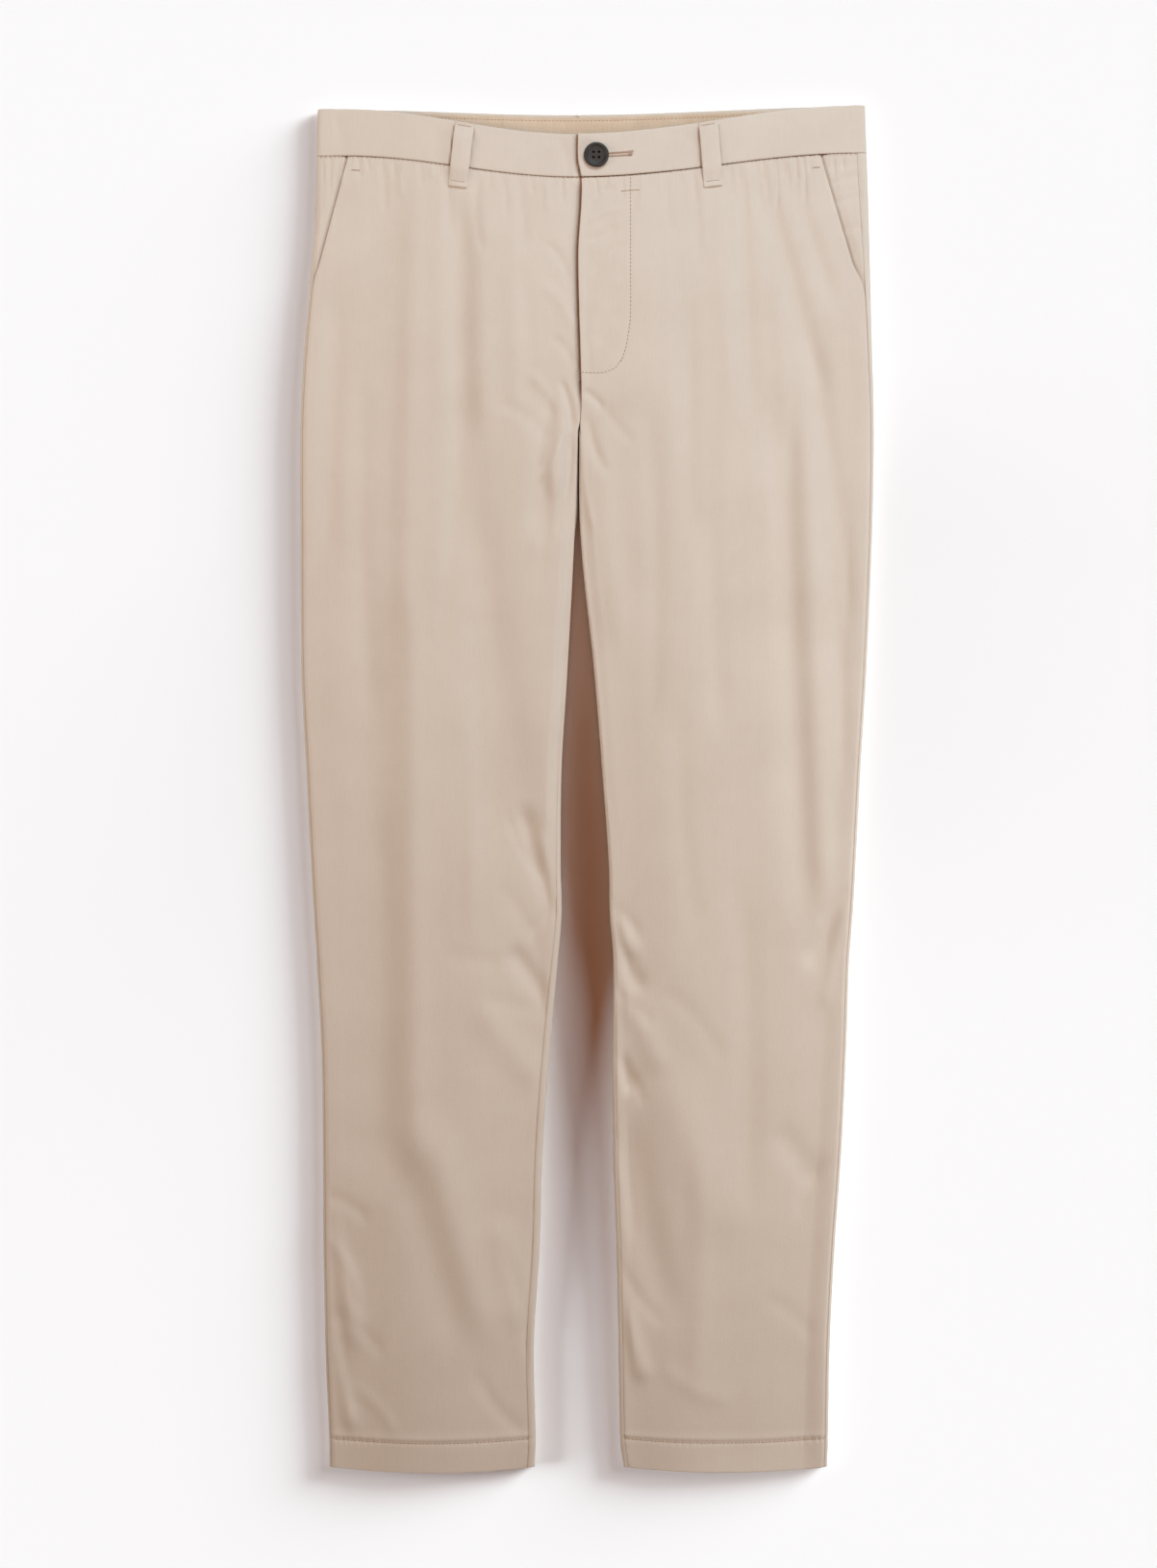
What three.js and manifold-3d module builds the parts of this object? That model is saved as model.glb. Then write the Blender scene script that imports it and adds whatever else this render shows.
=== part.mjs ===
// Chino trousers laid flat on their back with the front up: two front panels over two back panels,
// with a sag in the front waistband that opens the waist, and soft folds down both legs.
// Millimetres. The origin is the middle of the outline on the surface, +Y runs to the waist and +Z up.
// "Right" and "left" are the wearer's: the right leg lies on the -X side.

import * as THREE from 'three';
import { mergeVertices } from 'three/addons/utils/BufferGeometryUtils.js';
import Module from 'manifold-3d';

// Lengths down the garment, measured from the top corner of the waist
const OUTSEAM = 1066;
const BAND_HEIGHT = 37.5;
const POCKET_END = 129;
const FLY_END = 212;
const FORK_FRONT = 261;
const FORK_BACK = 316;
const HEM_DEPTH = 23;

// Cloth
const WALL = 1.2;
const HEM_WALL = 2.2;
const BAND_WALL = 1.8;
const SEAM_GAP = 0.3;
const BAND_PROUD = 0.6;

// Centre front: the left side laps over the right side
const CENTRE_X = -6.5;
const PANEL_UNDERLAP = 8;
const BAND_UNDERLAP = 42;
const PANEL_LIFT = WALL + SEAM_GAP;
const BAND_LIFT = BAND_WALL + SEAM_GAP;
const LAP_FLAT = 50;
const LAP_EASE = 40;
const LAP_END = FLY_END + 8;
const LAP_GONE = FORK_FRONT - 13;
const SHIELD_WIDTH = 38;
const SHIELD_TUCK = 5;
const SHIELD_END = 196;
const SHIELD_CORNER = 44;

// The waist sags away from its corners, more in front than at the back
const FRONT_SAG = 21.75;
const BACK_SAG = 7.5;
const SAG_REACH = { right: 190, left: 220 };
const SAG_LENGTH = 250;
const WAIST_TILT = 3;
const WAIST_LEFT_X = 217;
const WAIST_FLAT = 427;
const HEM_BOW = 4;
const HEM_MIDDLE = { right: -121, left: 108 };
const HEM_HALF = 80;
const BOW_LENGTH = 90;

// Seams lie on the front, this far inside the outline
const SIDE_SEAM_INSET = 4.6;
const WAIST_SIDE_INSET = 7.5;
const INSEAM_INSET = 5.4;
const INNER_CORNER = 6;
const SEAT_WALL_START = 216;
const SEAT_WALL_SHARE = 0.55;

// Slanted pocket mouths, in a right and a left of their own lengths
const POCKET = {
  right: { topX: -186.4, endX: -208.5 },
  left: { topX: 181.9, endX: 206.5 },
};
const POCKET_CORNER = 7;
const POCKET_TUCK = 16;
const POCKET_CLEAR = 1;
const POCKET_LEVEL = 9;
const POCKET_DROP = 2;

// Inside of the back waistband
const FACING = { fromX: -198, toX: 204, wall: 1 };

// Belt loops
const LOOP_WIDTH = 15;
const LOOP_WALL = 1.3;
const LOOP_PAST_SEAM = 17;
const LOOP_RAISE = 0.9;
const BACK_LOOP_REST = LOOP_WALL + SEAM_GAP;
const FRONT_LOOPS = [
  { name: 'belt_loop_front_right', topX: -95.3, bottomX: -100.9 },
  { name: 'belt_loop_front_left', topX: 94.1, bottomX: 98.3 },
];
const BACK_LOOPS = [
  { name: 'belt_loop_back_right', x: -128 },
  { name: 'belt_loop_back_centre', x: CENTRE_X },
  { name: 'belt_loop_back_left', x: 115 },
];

// Button
const BUTTON_SEAT_EASE = 0.15;
const BUTTON = {
  x: 7.1,
  down: 40.5,
  radius: 9.75,
  thickness: 3.2,
  rim: 1.5,
  holeRadius: 0.9,
  holeOffset: 1.75,
};

// Outline of the laid garment: where each leg's outer and inner edges lie across
const OUTLINE = [
  { down: 0, rightOuter: -210.4, rightInner: -7, leftInner: -6, leftOuter: 217 },
  { down: 90, rightOuter: -212.6, rightInner: -7, leftInner: -6, leftOuter: 220 },
  { down: 188, rightOuter: -220.9, rightInner: -7, leftInner: -6, leftOuter: 222.4 },
  { down: 248, rightOuter: -223.9, rightInner: -7, leftInner: -6, leftOuter: 223.9 },
  { down: 338, rightOuter: -223.9, rightInner: -10, leftInner: -5, leftOuter: 222.4 },
  { down: 443, rightOuter: -223.1, rightInner: -15.5, leftInner: 5.6, leftOuter: 217.9 },
  { down: 518, rightOuter: -219.4, rightInner: -19.9, leftInner: 11.6, leftOuter: 213.4 },
  { down: 593, rightOuter: -215.6, rightInner: -20.6, leftInner: 16.9, leftOuter: 209.6 },
  { down: 631, rightOuter: -213.4, rightInner: -19.9, leftInner: 17.6, leftOuter: 207.4 },
  { down: 668, rightOuter: -211.1, rightInner: -22.9, leftInner: 20.4, leftOuter: 204.6 },
  { down: 743, rightOuter: -207.4, rightInner: -29.6, leftInner: 19.9, leftOuter: 202.1 },
  { down: 818, rightOuter: -206.4, rightInner: -34.9, leftInner: 20.6, leftOuter: 198.4 },
  { down: 893, rightOuter: -205.9, rightInner: -37.1, leftInner: 22.9, leftOuter: 193.1 },
  { down: 968, rightOuter: -204.4, rightInner: -41.6, leftInner: 24.4, leftOuter: 189.4 },
  { down: 1047, rightOuter: -201.4, rightInner: -40.1, leftInner: 25.9, leftOuter: 188 },
  { down: 1066, rightOuter: -201.4, rightInner: -41, leftInner: 28.5, leftOuter: 187.4 },
];

// Heights of the front above the surface: at the outer fold, at the inner edge, and the arch between
const HEIGHTS = [
  { down: 0, side: 9, inner: 11, arch: 3.6 },
  { down: 40, side: 9.5, inner: 11.5, arch: 4.6 },
  { down: 110, side: 11, inner: 12, arch: 6.5 },
  { down: 190, side: 12, inner: 12.5, arch: 7.5 },
  { down: 261, side: 12, inner: 13.5, arch: 7 },
  { down: 338, side: 12, inner: 14, arch: 7 },
  { down: 443, side: 11.5, inner: 14, arch: 7.5 },
  { down: 631, side: 11.5, inner: 13, arch: 7 },
  { down: 818, side: 11.5, inner: 12, arch: 6.5 },
  { down: 968, side: 11.5, inner: 11.5, arch: 5.5 },
  { down: 1066, side: 11, inner: 11, arch: 4.5 },
];

// Main folds, each a soft trough (depth below zero) or ridge along a line, faded out at its ends
const FOLDS = [
  { x0: -138, down0: 95, x1: -139, down1: 790, width: 30, depth: -3.2 },
  { x0: -124, down0: 95, x1: -124, down1: 700, width: 22, depth: 1.4 },
  { x0: -80, down0: 95, x1: -70, down1: 345, width: 26, depth: -2.6 },
  { x0: -70, down0: 330, x1: -52, down1: 530, width: 26, depth: -2.8 },
  { x0: -197, down0: 165, x1: -201, down1: 330, width: 20, depth: -1.6 },
  { x0: -14, down0: 205, x1: -27, down1: 305, width: 15, depth: 2.6 },
  { x0: -32, down0: 225, x1: -42, down1: 345, width: 18, depth: -2.6 },
  { x0: -58, down0: 520, x1: -22, down1: 632, width: 13, depth: -3.2 },
  { x0: -95, down0: 640, x1: -30, down1: 705, width: 20, depth: -1.8 },
  { x0: -124, down0: 800, x1: -92, down1: 872, width: 22, depth: 2.2 },
  { x0: -196, down0: 870, x1: -174, down1: 975, width: 18, depth: -2 },
  { x0: -190, down0: 975, x1: -168, down1: 1040, width: 18, depth: 1.6 },
  { x0: 134, down0: 95, x1: 136, down1: 345, width: 26, depth: -3 },
  { x0: 136, down0: 335, x1: 168, down1: 590, width: 26, depth: -2.8 },
  { x0: 118, down0: 100, x1: 120, down1: 420, width: 20, depth: 1.4 },
  { x0: 168, down0: 200, x1: 202, down1: 400, width: 18, depth: -2.4 },
  { x0: 76, down0: 100, x1: 70, down1: 420, width: 30, depth: -1.6 },
  { x0: 20, down0: 636, x1: 62, down1: 690, width: 15, depth: -2.8 },
  { x0: 26, down0: 655, x1: 52, down1: 770, width: 16, depth: 1.8 },
  { x0: 203, down0: 628, x1: 160, down1: 660, width: 16, depth: -2.2 },
  { x0: 26, down0: 820, x1: 52, down1: 900, width: 15, depth: -1.8 },
  { x0: 60, down0: 850, x1: 120, down1: 960, width: 30, depth: -1.6 },
];

// Where cross-sections are taken down the panels
const PANEL_STATIONS = [
  BAND_HEIGHT + SEAM_GAP, 50, 64, 80, 102, POCKET_END - POCKET_CORNER, POCKET_END, 152, 176, 198, 218, 232,
  248, FORK_FRONT, 276, 294, FORK_BACK, 330, 350, 380, 420, 465, 510, 548, 580, 606, 631, 658, 695, 740,
  790, 835, 880, 925, 975, 1020, OUTSEAM - HEM_DEPTH - 1, OUTSEAM - HEM_DEPTH, OUTSEAM,
];
const BAND_STATIONS = [0, 0.34 * BAND_HEIGHT, 0.67 * BAND_HEIGHT, BAND_HEIGHT];
const FRONT_COLUMNS = 18;
const TURN_STEPS = 7;
const SEAT_TURN_STEPS = 9;
const SEAT_TURN_FLAT = 10;
const SIDE_TURN_FLAT = 0.5;
const FLAT_STEPS = 6;
const BAND_BACK_STEPS = 8;
const BAND_FRONT_STEPS = 15;
const BAND_TURN_OVER = 14;
const BAND_TURN_STEPS = 9;
const FACING_STEPS = 20;

const clamp = (value) => Math.min(1, Math.max(0, value));
const mix = (from, to, share) => from + (to - from) * share;
const ease = (from, to, value) => {
  const share = clamp((value - from) / (to - from));
  return share * share * (3 - 2 * share);
};
const range = (count) => Array.from({ length: count + 1 }, (_, index) => index / count);
const spread = (count, from, to) => range(count).map((share) => mix(from, to, share));

// A column of a table read as a smooth curve through its rows
function readTable(table, column, down) {
  const last = table.length - 1;
  const at = Math.min(last - 1, Math.max(0, table.findIndex((row) => row.down > down) - 1));
  const index = down >= table[last].down ? last - 1 : at;
  const slope = (row) => {
    const before = table[Math.max(0, row - 1)];
    const after = table[Math.min(last, row + 1)];
    return (after[column] - before[column]) / (after.down - before.down);
  };
  const start = table[index];
  const end = table[index + 1];
  const span = end.down - start.down;
  const t = clamp((down - start.down) / span);
  const t2 = t * t;
  const t3 = t2 * t;
  return (2 * t3 - 3 * t2 + 1) * start[column] + (t3 - 2 * t2 + t) * span * slope(index)
    + (3 * t2 - 2 * t3) * end[column] + (t3 - t2) * span * slope(index + 1);
}

// One leg's section at a distance down: edges, corner radii, and which way is outwards
function legSection(side, down) {
  const outward = side === 'right' ? -1 : 1;
  const outer = readTable(OUTLINE, `${side}Outer`, down);
  const legInner = readTable(OUTLINE, `${side}Inner`, down);
  const seat = CENTRE_X + outward * SEAM_GAP / 2;
  const parted = ease(FORK_BACK - 2, FORK_BACK + 24, down);
  const lift = BACK_LOOP_REST * (1 - ease(BAND_HEIGHT + LOOP_PAST_SEAM + 4, 92, down));
  const sideHeight = readTable(HEIGHTS, 'side', down);
  return {
    outward,
    outer,
    inner: down < FORK_FRONT ? seat : legInner,
    floorInner: mix(seat, legInner, parted),
    lift,
    sideHeight,
    sideRadius: (sideHeight - lift) / 2,
    innerHeight: readTable(HEIGHTS, 'inner', down),
    arch: readTable(HEIGHTS, 'arch', down),
    split: ease(235, 335, down),
  };
}

// How far a fold lowers or raises the cloth at a place
function foldHeight(fold, x, down) {
  const runX = fold.x1 - fold.x0;
  const runDown = fold.down1 - fold.down0;
  const length = Math.hypot(runX, runDown);
  const along = ((x - fold.x0) * runX + (down - fold.down0) * runDown) / length;
  const across = ((x - fold.x0) * runDown - (down - fold.down0) * runX) / length;
  const endFade = Math.min(0.3 * length, 60);
  const startFade = ease(-endFade / 2, endFade / 2, along);
  const stopFade = 1 - ease(length - endFade / 2, length + endFade / 2, along);
  return fold.depth * startFade * stopFade * Math.exp(-((across / (fold.width / 2)) ** 2));
}

// How far a rounded edge has dropped at a distance in from it
function cornerDrop(distance, radius) {
  const short = Math.max(0, radius - distance);
  return radius - Math.sqrt(radius * radius - short * short);
}

const sideOf = (x) => (x < CENTRE_X ? 'right' : 'left');

// Height of the front's outer surface over one leg, its folds included
function frontHeight(side, x, down) {
  const section = legSection(down < FORK_FRONT ? sideOf(x) : side, down);
  const corner = down < FORK_FRONT ? 0 : INNER_CORNER;
  const from = section.inner + section.outward * corner;
  const to = section.outer - section.outward * section.sideRadius;
  const share = clamp((x - from) / (to - from));
  const legArch = (1 + Math.cos(Math.PI * Math.abs(2 * share - 1) ** 1.7)) / 2;
  const hipArch = (1 + Math.cos(Math.PI * share ** 2.2)) / 2;
  const base = mix(section.innerHeight, section.sideHeight, share);
  const outerFade = ease(0, 14, Math.abs(to - x));
  const flyFade = ease(10, 24, Math.abs(x - CENTRE_X));
  const innerFade = mix(flyFade, ease(0, 9, Math.abs(x - from)), section.split);
  const folds = FOLDS.reduce((sum, fold) => sum + foldHeight(fold, x, down), 0);
  const outerDrop = cornerDrop(Math.abs(section.outer - x), section.sideRadius);
  const innerDrop = corner > 0 ? cornerDrop(Math.abs(x - section.inner), corner) : 0;
  const arch = section.arch * mix(hipArch, legArch, section.split);
  return base + arch + folds * outerFade * innerFade - outerDrop - innerDrop;
}

// The left side rides over the right at the fly
function lapHeight(x, down, lift) {
  const outFade = 1 - ease(LAP_FLAT, LAP_FLAT + LAP_EASE, x - CENTRE_X);
  const downFade = 1 - ease(LAP_END, LAP_GONE, down);
  return lift * outFade * downFade;
}

// Where a point of the cloth lies along the garment, on the front (1), the back (0) or between them
function lengthwise(x, down, onFront) {
  const reach = x < CENTRE_X ? SAG_REACH.right : SAG_REACH.left;
  const sagShape = Math.cos(0.5 * Math.PI * clamp(Math.abs(x - CENTRE_X) / reach)) ** 2;
  const sagFade = clamp(1 - down / SAG_LENGTH);
  const sag = mix(BACK_SAG, FRONT_SAG, onFront) * sagShape * sagFade;
  const tilt = WAIST_TILT * clamp((WAIST_LEFT_X - x) / WAIST_FLAT) * sagFade;
  const middle = x < CENTRE_X ? HEM_MIDDLE.right : HEM_MIDDLE.left;
  const bow = HEM_BOW * ((x - middle) / HEM_HALF) ** 2 * ease(OUTSEAM - BOW_LENGTH, OUTSEAM, down);
  return OUTSEAM / 2 - down - sag - tilt + bow;
}

const wallAt = (down) => (down > OUTSEAM - HEM_DEPTH - 0.5 ? HEM_WALL : WALL);

// A closed wall between an outer and an inner grid of points
function wallGeometry(outer, inner) {
  const rows = outer.length;
  const columns = outer[0].length;
  const positions = [];
  for (const grid of [outer, inner]) {
    for (const row of grid) {
      for (const point of row) {
        positions.push(...point);
      }
    }
  }
  const outside = (row, column) => row * columns + column;
  const inside = (row, column) => rows * columns + row * columns + column;
  const faces = [];
  const quad = (a, b, c, d) => faces.push(a, b, c, a, c, d);
  const lastRow = rows - 1;
  const lastColumn = columns - 1;
  for (let row = 0; row < lastRow; row += 1) {
    const next = row + 1;
    for (let column = 0; column < lastColumn; column += 1) {
      const beside = column + 1;
      quad(outside(row, column), outside(row, beside), outside(next, beside), outside(next, column));
      quad(inside(row, column), inside(next, column), inside(next, beside), inside(row, beside));
    }
    quad(outside(row, 0), outside(next, 0), inside(next, 0), inside(row, 0));
    quad(outside(next, lastColumn), outside(row, lastColumn), inside(row, lastColumn), inside(next, lastColumn));
  }
  for (let column = 0; column < lastColumn; column += 1) {
    const beside = column + 1;
    quad(outside(0, beside), outside(0, column), inside(0, column), inside(0, beside));
    quad(outside(lastRow, column), outside(lastRow, beside), inside(lastRow, beside), inside(lastRow, column));
  }
  return facedOut(positions, faces);
}

// Turns a closed mesh the right way out by the sign of its volume
function facedOut(positions, faces) {
  const point = (index) => new THREE.Vector3(...positions.slice(3 * index, 3 * index + 3));
  let volume = 0;
  for (let index = 0; index < faces.length; index += 3) {
    volume += point(faces[index]).dot(point(faces[index + 1]).cross(point(faces[index + 2])));
  }
  if (volume < 0) {
    faces.reverse();
  }
  const geometry = new THREE.BufferGeometry();
  geometry.setAttribute('position', new THREE.Float32BufferAttribute(positions, 3));
  geometry.setIndex(faces);
  return geometry;
}

// A sheet of cloth over the front: a row of places across it at each station
function frontSheet({ stations, across, outerHeight, thickness }) {
  const outer = [];
  const inner = [];
  for (const down of stations) {
    const places = across(down);
    const heights = places.map((x) => outerHeight(x, down));
    outer.push(places.map((x, index) => [x, lengthwise(x, down, 1), heights[index]]));
    inner.push(places.map((x, index) => [x, lengthwise(x, down, 1), heights[index] - thickness(down)]));
  }
  return wallGeometry(outer, inner);
}

// Side seam on the front: nearer the outline down the leg than at the waist
function sideSeam(side, down) {
  const section = legSection(side, down);
  const waistInset = side === 'left' ? WAIST_SIDE_INSET : SIDE_SEAM_INSET + 0.6;
  return section.outer - section.outward * mix(waistInset, SIDE_SEAM_INSET, ease(40, 190, down));
}

// The front's outer edge: the slanted pocket mouth, then the side seam
function frontOuterEdge(side, down) {
  const outward = side === 'right' ? -1 : 1;
  const seam = sideSeam(side, down) - outward * SEAM_GAP / 2;
  const share = (down - BAND_HEIGHT) / (POCKET_END - POCKET_CORNER - BAND_HEIGHT);
  const slant = mix(POCKET[side].topX, POCKET[side].endX, clamp(share));
  const corner = ease(POCKET_END - POCKET_CORNER, POCKET_END, down);
  return mix(slant, seam, corner);
}

function frontPanel(side) {
  const outward = side === 'right' ? -1 : 1;
  const underlap = (down) => PANEL_UNDERLAP * (1 - ease(FLY_END - 14, FLY_END + 6, down));
  const innerEdge = (down) => {
    const section = legSection(side, down);
    if (down >= FORK_FRONT) {
      return section.inner + outward * (INSEAM_INSET + SEAM_GAP / 2);
    }
    return section.inner + (side === 'right' ? underlap(down) : 0);
  };
  const lapAt = (x, down) => (side === 'left' ? lapHeight(x, down, PANEL_LIFT) : 0);
  return frontSheet({
    stations: PANEL_STATIONS,
    across: (down) => spread(FRONT_COLUMNS, innerEdge(down), frontOuterEdge(side, down)),
    outerHeight: (x, down) => frontHeight(side, x, down) + lapAt(x, down),
    thickness: wallAt,
  });
}

// A run of cloth turning up from the surface, round a corner, up, round again and in over the top
function turnedEdge({ floorX, topX, lift, height, radius, inset, inward, flat, share, steps, wall, down }) {
  const quarter = 0.5 * Math.PI * radius;
  const rise = height - lift - 2 * radius;
  const over = inset < radius ? radius * Math.acos(1 - inset / radius) : quarter + inset - radius;
  const climb = share * (quarter + rise + over);
  const firstTurn = Math.min(climb / radius, 0.5 * Math.PI);
  const turnStart = floorX + inward * radius * Math.sin(firstTurn);
  const seam = topX + inward * inset;
  const within = (x) => (inward > 0 ? Math.min(x, seam) : Math.max(x, seam));
  return range(steps).map((part) => {
    const run = part * (flat + climb);
    const risen = run - flat;
    if (risen <= 0) {
      const x = turnStart - inward * risen;
      return { x, z: lift, x2: x, z2: lift + wall, onFront: 0 };
    }
    if (risen <= quarter) {
      const angle = risen / radius;
      const x = turnStart - inward * radius * Math.sin(angle);
      const z = lift + radius * (1 - Math.cos(angle));
      return { x, z, x2: x + inward * wall * Math.sin(angle), z2: z + wall * Math.cos(angle), onFront: 0 };
    }
    if (risen <= quarter + rise) {
      const z = lift + radius + risen - quarter;
      const x = mix(floorX, topX, (z - lift) / (height - lift));
      return { x, z, x2: x + inward * wall, z2: z, onFront: 0.5 };
    }
    if (risen <= 2 * quarter + rise) {
      const angle = (risen - quarter - rise) / radius;
      const x = topX + inward * radius * (1 - Math.cos(angle));
      const z = height - radius * (1 - Math.sin(angle));
      const x2 = within(x + inward * wall * Math.cos(angle));
      return { x, z, x2, z2: z - wall * Math.sin(angle), onFront: 1 };
    }
    const x = topX + inward * (radius + risen - 2 * quarter - rise);
    const z = frontHeight(sideOf(x), x, down);
    return { x, z, x2: x, z2: z - wall, onFront: 1 };
  });
}

// A back panel's section, from the seat seam or inseam, across the surface, to the side seam
function backSection(side, down, wall) {
  const section = legSection(side, down);
  const { outward } = section;
  const cornerX = section.inner + (down < FORK_FRONT ? 0 : outward * INNER_CORNER);
  const innerTop = frontHeight(side, cornerX, down);
  const climbing = down >= FORK_FRONT ? 1 : SEAT_WALL_SHARE * ease(SEAT_WALL_START, FORK_FRONT, down);
  const seatTurn = turnedEdge({
    floorX: section.floorInner,
    topX: section.inner,
    lift: section.lift,
    height: innerTop,
    radius: Math.min(INNER_CORNER, (innerTop - section.lift) / 2),
    inset: INSEAM_INSET - SEAM_GAP / 2,
    inward: outward,
    flat: SEAT_TURN_FLAT,
    share: climbing,
    steps: SEAT_TURN_STEPS,
    wall,
    down,
  }).reverse();
  const sideTurn = turnedEdge({
    floorX: section.outer,
    topX: section.outer,
    lift: section.lift,
    height: section.sideHeight,
    radius: section.sideRadius,
    inset: Math.abs(section.outer - sideSeam(side, down)) - SEAM_GAP / 2,
    inward: -outward,
    flat: SIDE_TURN_FLAT,
    share: 1,
    steps: TURN_STEPS,
    wall,
    down,
  });
  const from = seatTurn[seatTurn.length - 1].x;
  const to = sideTurn[0].x;
  const flat = spread(FLAT_STEPS, from, to).slice(1, -1).map((x) => (
    { x, z: section.lift, x2: x, z2: section.lift + wall, onFront: 0 }
  ));
  return [...seatTurn, ...flat, ...sideTurn];
}

function backPanel(side) {
  const outer = [];
  const inner = [];
  for (const down of PANEL_STATIONS) {
    const section = backSection(side, down, wallAt(down));
    outer.push(section.map((p) => [p.x, lengthwise(p.x, down, p.onFront), p.z]));
    inner.push(section.map((p) => [p.x2, lengthwise(p.x, down, p.onFront), p.z2]));
  }
  return wallGeometry(outer, inner);
}

// A waistband half: centre back, along the surface, round the side fold, to the centre front
function waistband(side) {
  const outward = side === 'right' ? -1 : 1;
  const frontEnd = side === 'right' ? CENTRE_X + BAND_UNDERLAP : CENTRE_X;
  const lapAt = (x, down) => (side === 'left' ? lapHeight(x, down, BAND_LIFT) : 0);
  const outer = [];
  const inner = [];
  for (const down of BAND_STATIONS) {
    const section = legSection(side, down);
    const turn = turnedEdge({
      floorX: section.outer,
      topX: section.outer,
      lift: section.lift,
      height: section.sideHeight,
      radius: section.sideRadius,
      inset: BAND_TURN_OVER,
      inward: -outward,
      flat: SIDE_TURN_FLAT,
      share: 1,
      steps: BAND_TURN_STEPS,
      wall: BAND_WALL,
      down,
    });
    const seat = CENTRE_X + outward * SEAM_GAP / 2;
    const back = spread(BAND_BACK_STEPS, seat, turn[0].x).slice(0, -1).map((x) => (
      { x, z: section.lift, x2: x, z2: section.lift + BAND_WALL, onFront: 0 }
    ));
    const turnEnd = turn[turn.length - 1].x;
    const front = spread(BAND_FRONT_STEPS, turnEnd, frontEnd).slice(1).map((x) => {
      const proud = BAND_PROUD * ease(0, 2 * BAND_TURN_OVER, Math.abs(x - turnEnd));
      const z = frontHeight(side, x, down) + proud + lapAt(x, down);
      return { x, z, x2: x, z2: z - BAND_WALL, onFront: 1 };
    });
    const points = [...back, ...turn, ...front];
    outer.push(points.map((p) => [p.x, lengthwise(p.x, down, p.onFront), p.z]));
    inner.push(points.map((p) => [p.x2, lengthwise(p.x, down, p.onFront), p.z2]));
  }
  return wallGeometry(outer, inner);
}

// The inside of the back waistband, which shows above the front one
function waistbandFacing() {
  const bottom = BACK_LOOP_REST + BAND_WALL + SEAM_GAP;
  const outer = [];
  const inner = [];
  for (const down of BAND_STATIONS) {
    const across = spread(FACING_STEPS, FACING.fromX, FACING.toX);
    outer.push(across.map((x) => [x, lengthwise(x, down, 0), bottom + FACING.wall]));
    inner.push(across.map((x) => [x, lengthwise(x, down, 0), bottom]));
  }
  return wallGeometry(outer, inner);
}

// Shell cloth that shows in a slanted pocket mouth, tucked under the front panel
function pocketFacing(side) {
  const outward = side === 'right' ? -1 : 1;
  const slantAt = (down) => frontOuterEdge(side, down);
  return frontSheet({
    stations: PANEL_STATIONS.filter((down) => down < POCKET_END),
    across: (down) => {
      const mouth = slantAt(down) + outward * POCKET_CLEAR;
      const seam = sideSeam(side, down) - outward * SEAM_GAP / 2;
      const tucked = spread(2, slantAt(down) - outward * POCKET_TUCK, mouth);
      return [...tucked, ...spread(4, mouth, seam).slice(1)];
    },
    outerHeight: (x, down) => {
      const past = outward * (x - slantAt(down));
      return frontHeight(side, x, down) - POCKET_DROP * (1 - ease(POCKET_CLEAR, POCKET_LEVEL, past));
    },
    thickness: () => WALL,
  });
}

// The shield behind the fly, with its lower corner rounded off
function flyShield() {
  const stations = [BAND_HEIGHT + SEAM_GAP, 60, 90, 120, 148, 166, 180, 190, SHIELD_END];
  const roundStart = SHIELD_END - SHIELD_CORNER;
  return frontSheet({
    stations,
    across: (down) => {
      const share = clamp((down - roundStart) / SHIELD_CORNER);
      const width = PANEL_UNDERLAP + (SHIELD_WIDTH - PANEL_UNDERLAP) * Math.sqrt(1 - share * share);
      return spread(4, CENTRE_X - SHIELD_TUCK, CENTRE_X + width);
    },
    outerHeight: (x, down) => frontHeight(sideOf(x), x, down) - PANEL_LIFT,
    thickness: () => WALL,
  });
}

// A front belt loop, laid over the band and the top of the panel
function frontLoop({ topX, bottomX }) {
  const end = BAND_HEIGHT + LOOP_PAST_SEAM;
  const stations = [0.6, 7, 19, 31, BAND_HEIGHT, 43, 48, end];
  const centre = (down) => mix(topX, bottomX, down / end);
  return frontSheet({
    stations,
    across: (down) => spread(4, centre(down) - LOOP_WIDTH / 2, centre(down) + LOOP_WIDTH / 2),
    outerHeight: (x, down) => {
      const proud = BAND_PROUD * (1 - ease(BAND_HEIGHT + 1, BAND_HEIGHT + 10, down));
      const raise = LOOP_RAISE * ease(3, 14, down) * (1 - ease(38, 52, down));
      return frontHeight(sideOf(x), x, down) + proud + raise + SEAM_GAP + LOOP_WALL;
    },
    thickness: () => LOOP_WALL,
  });
}

// A back belt loop, pressed flat between the band and the surface
function backLoop({ x }) {
  const stations = [0.6, 19, BAND_HEIGHT, BAND_HEIGHT + LOOP_PAST_SEAM];
  const outer = [];
  const inner = [];
  for (const down of stations) {
    const across = spread(2, x - LOOP_WIDTH / 2, x + LOOP_WIDTH / 2);
    outer.push(across.map((at) => [at, lengthwise(at, down, 0), 0]));
    inner.push(across.map((at) => [at, lengthwise(at, down, 0), LOOP_WALL]));
  }
  return wallGeometry(outer, inner);
}

const wasm = await Module();
wasm.setup();

function toSolid(geometry) {
  const bare = geometry.clone();
  bare.deleteAttribute('normal');
  bare.deleteAttribute('uv');
  const merged = mergeVertices(bare, 1e-4);
  return new wasm.Manifold(new wasm.Mesh({
    numProp: 3,
    vertProperties: new Float32Array(merged.attributes.position.array),
    triVerts: new Uint32Array(merged.index.array),
  }));
}

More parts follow.
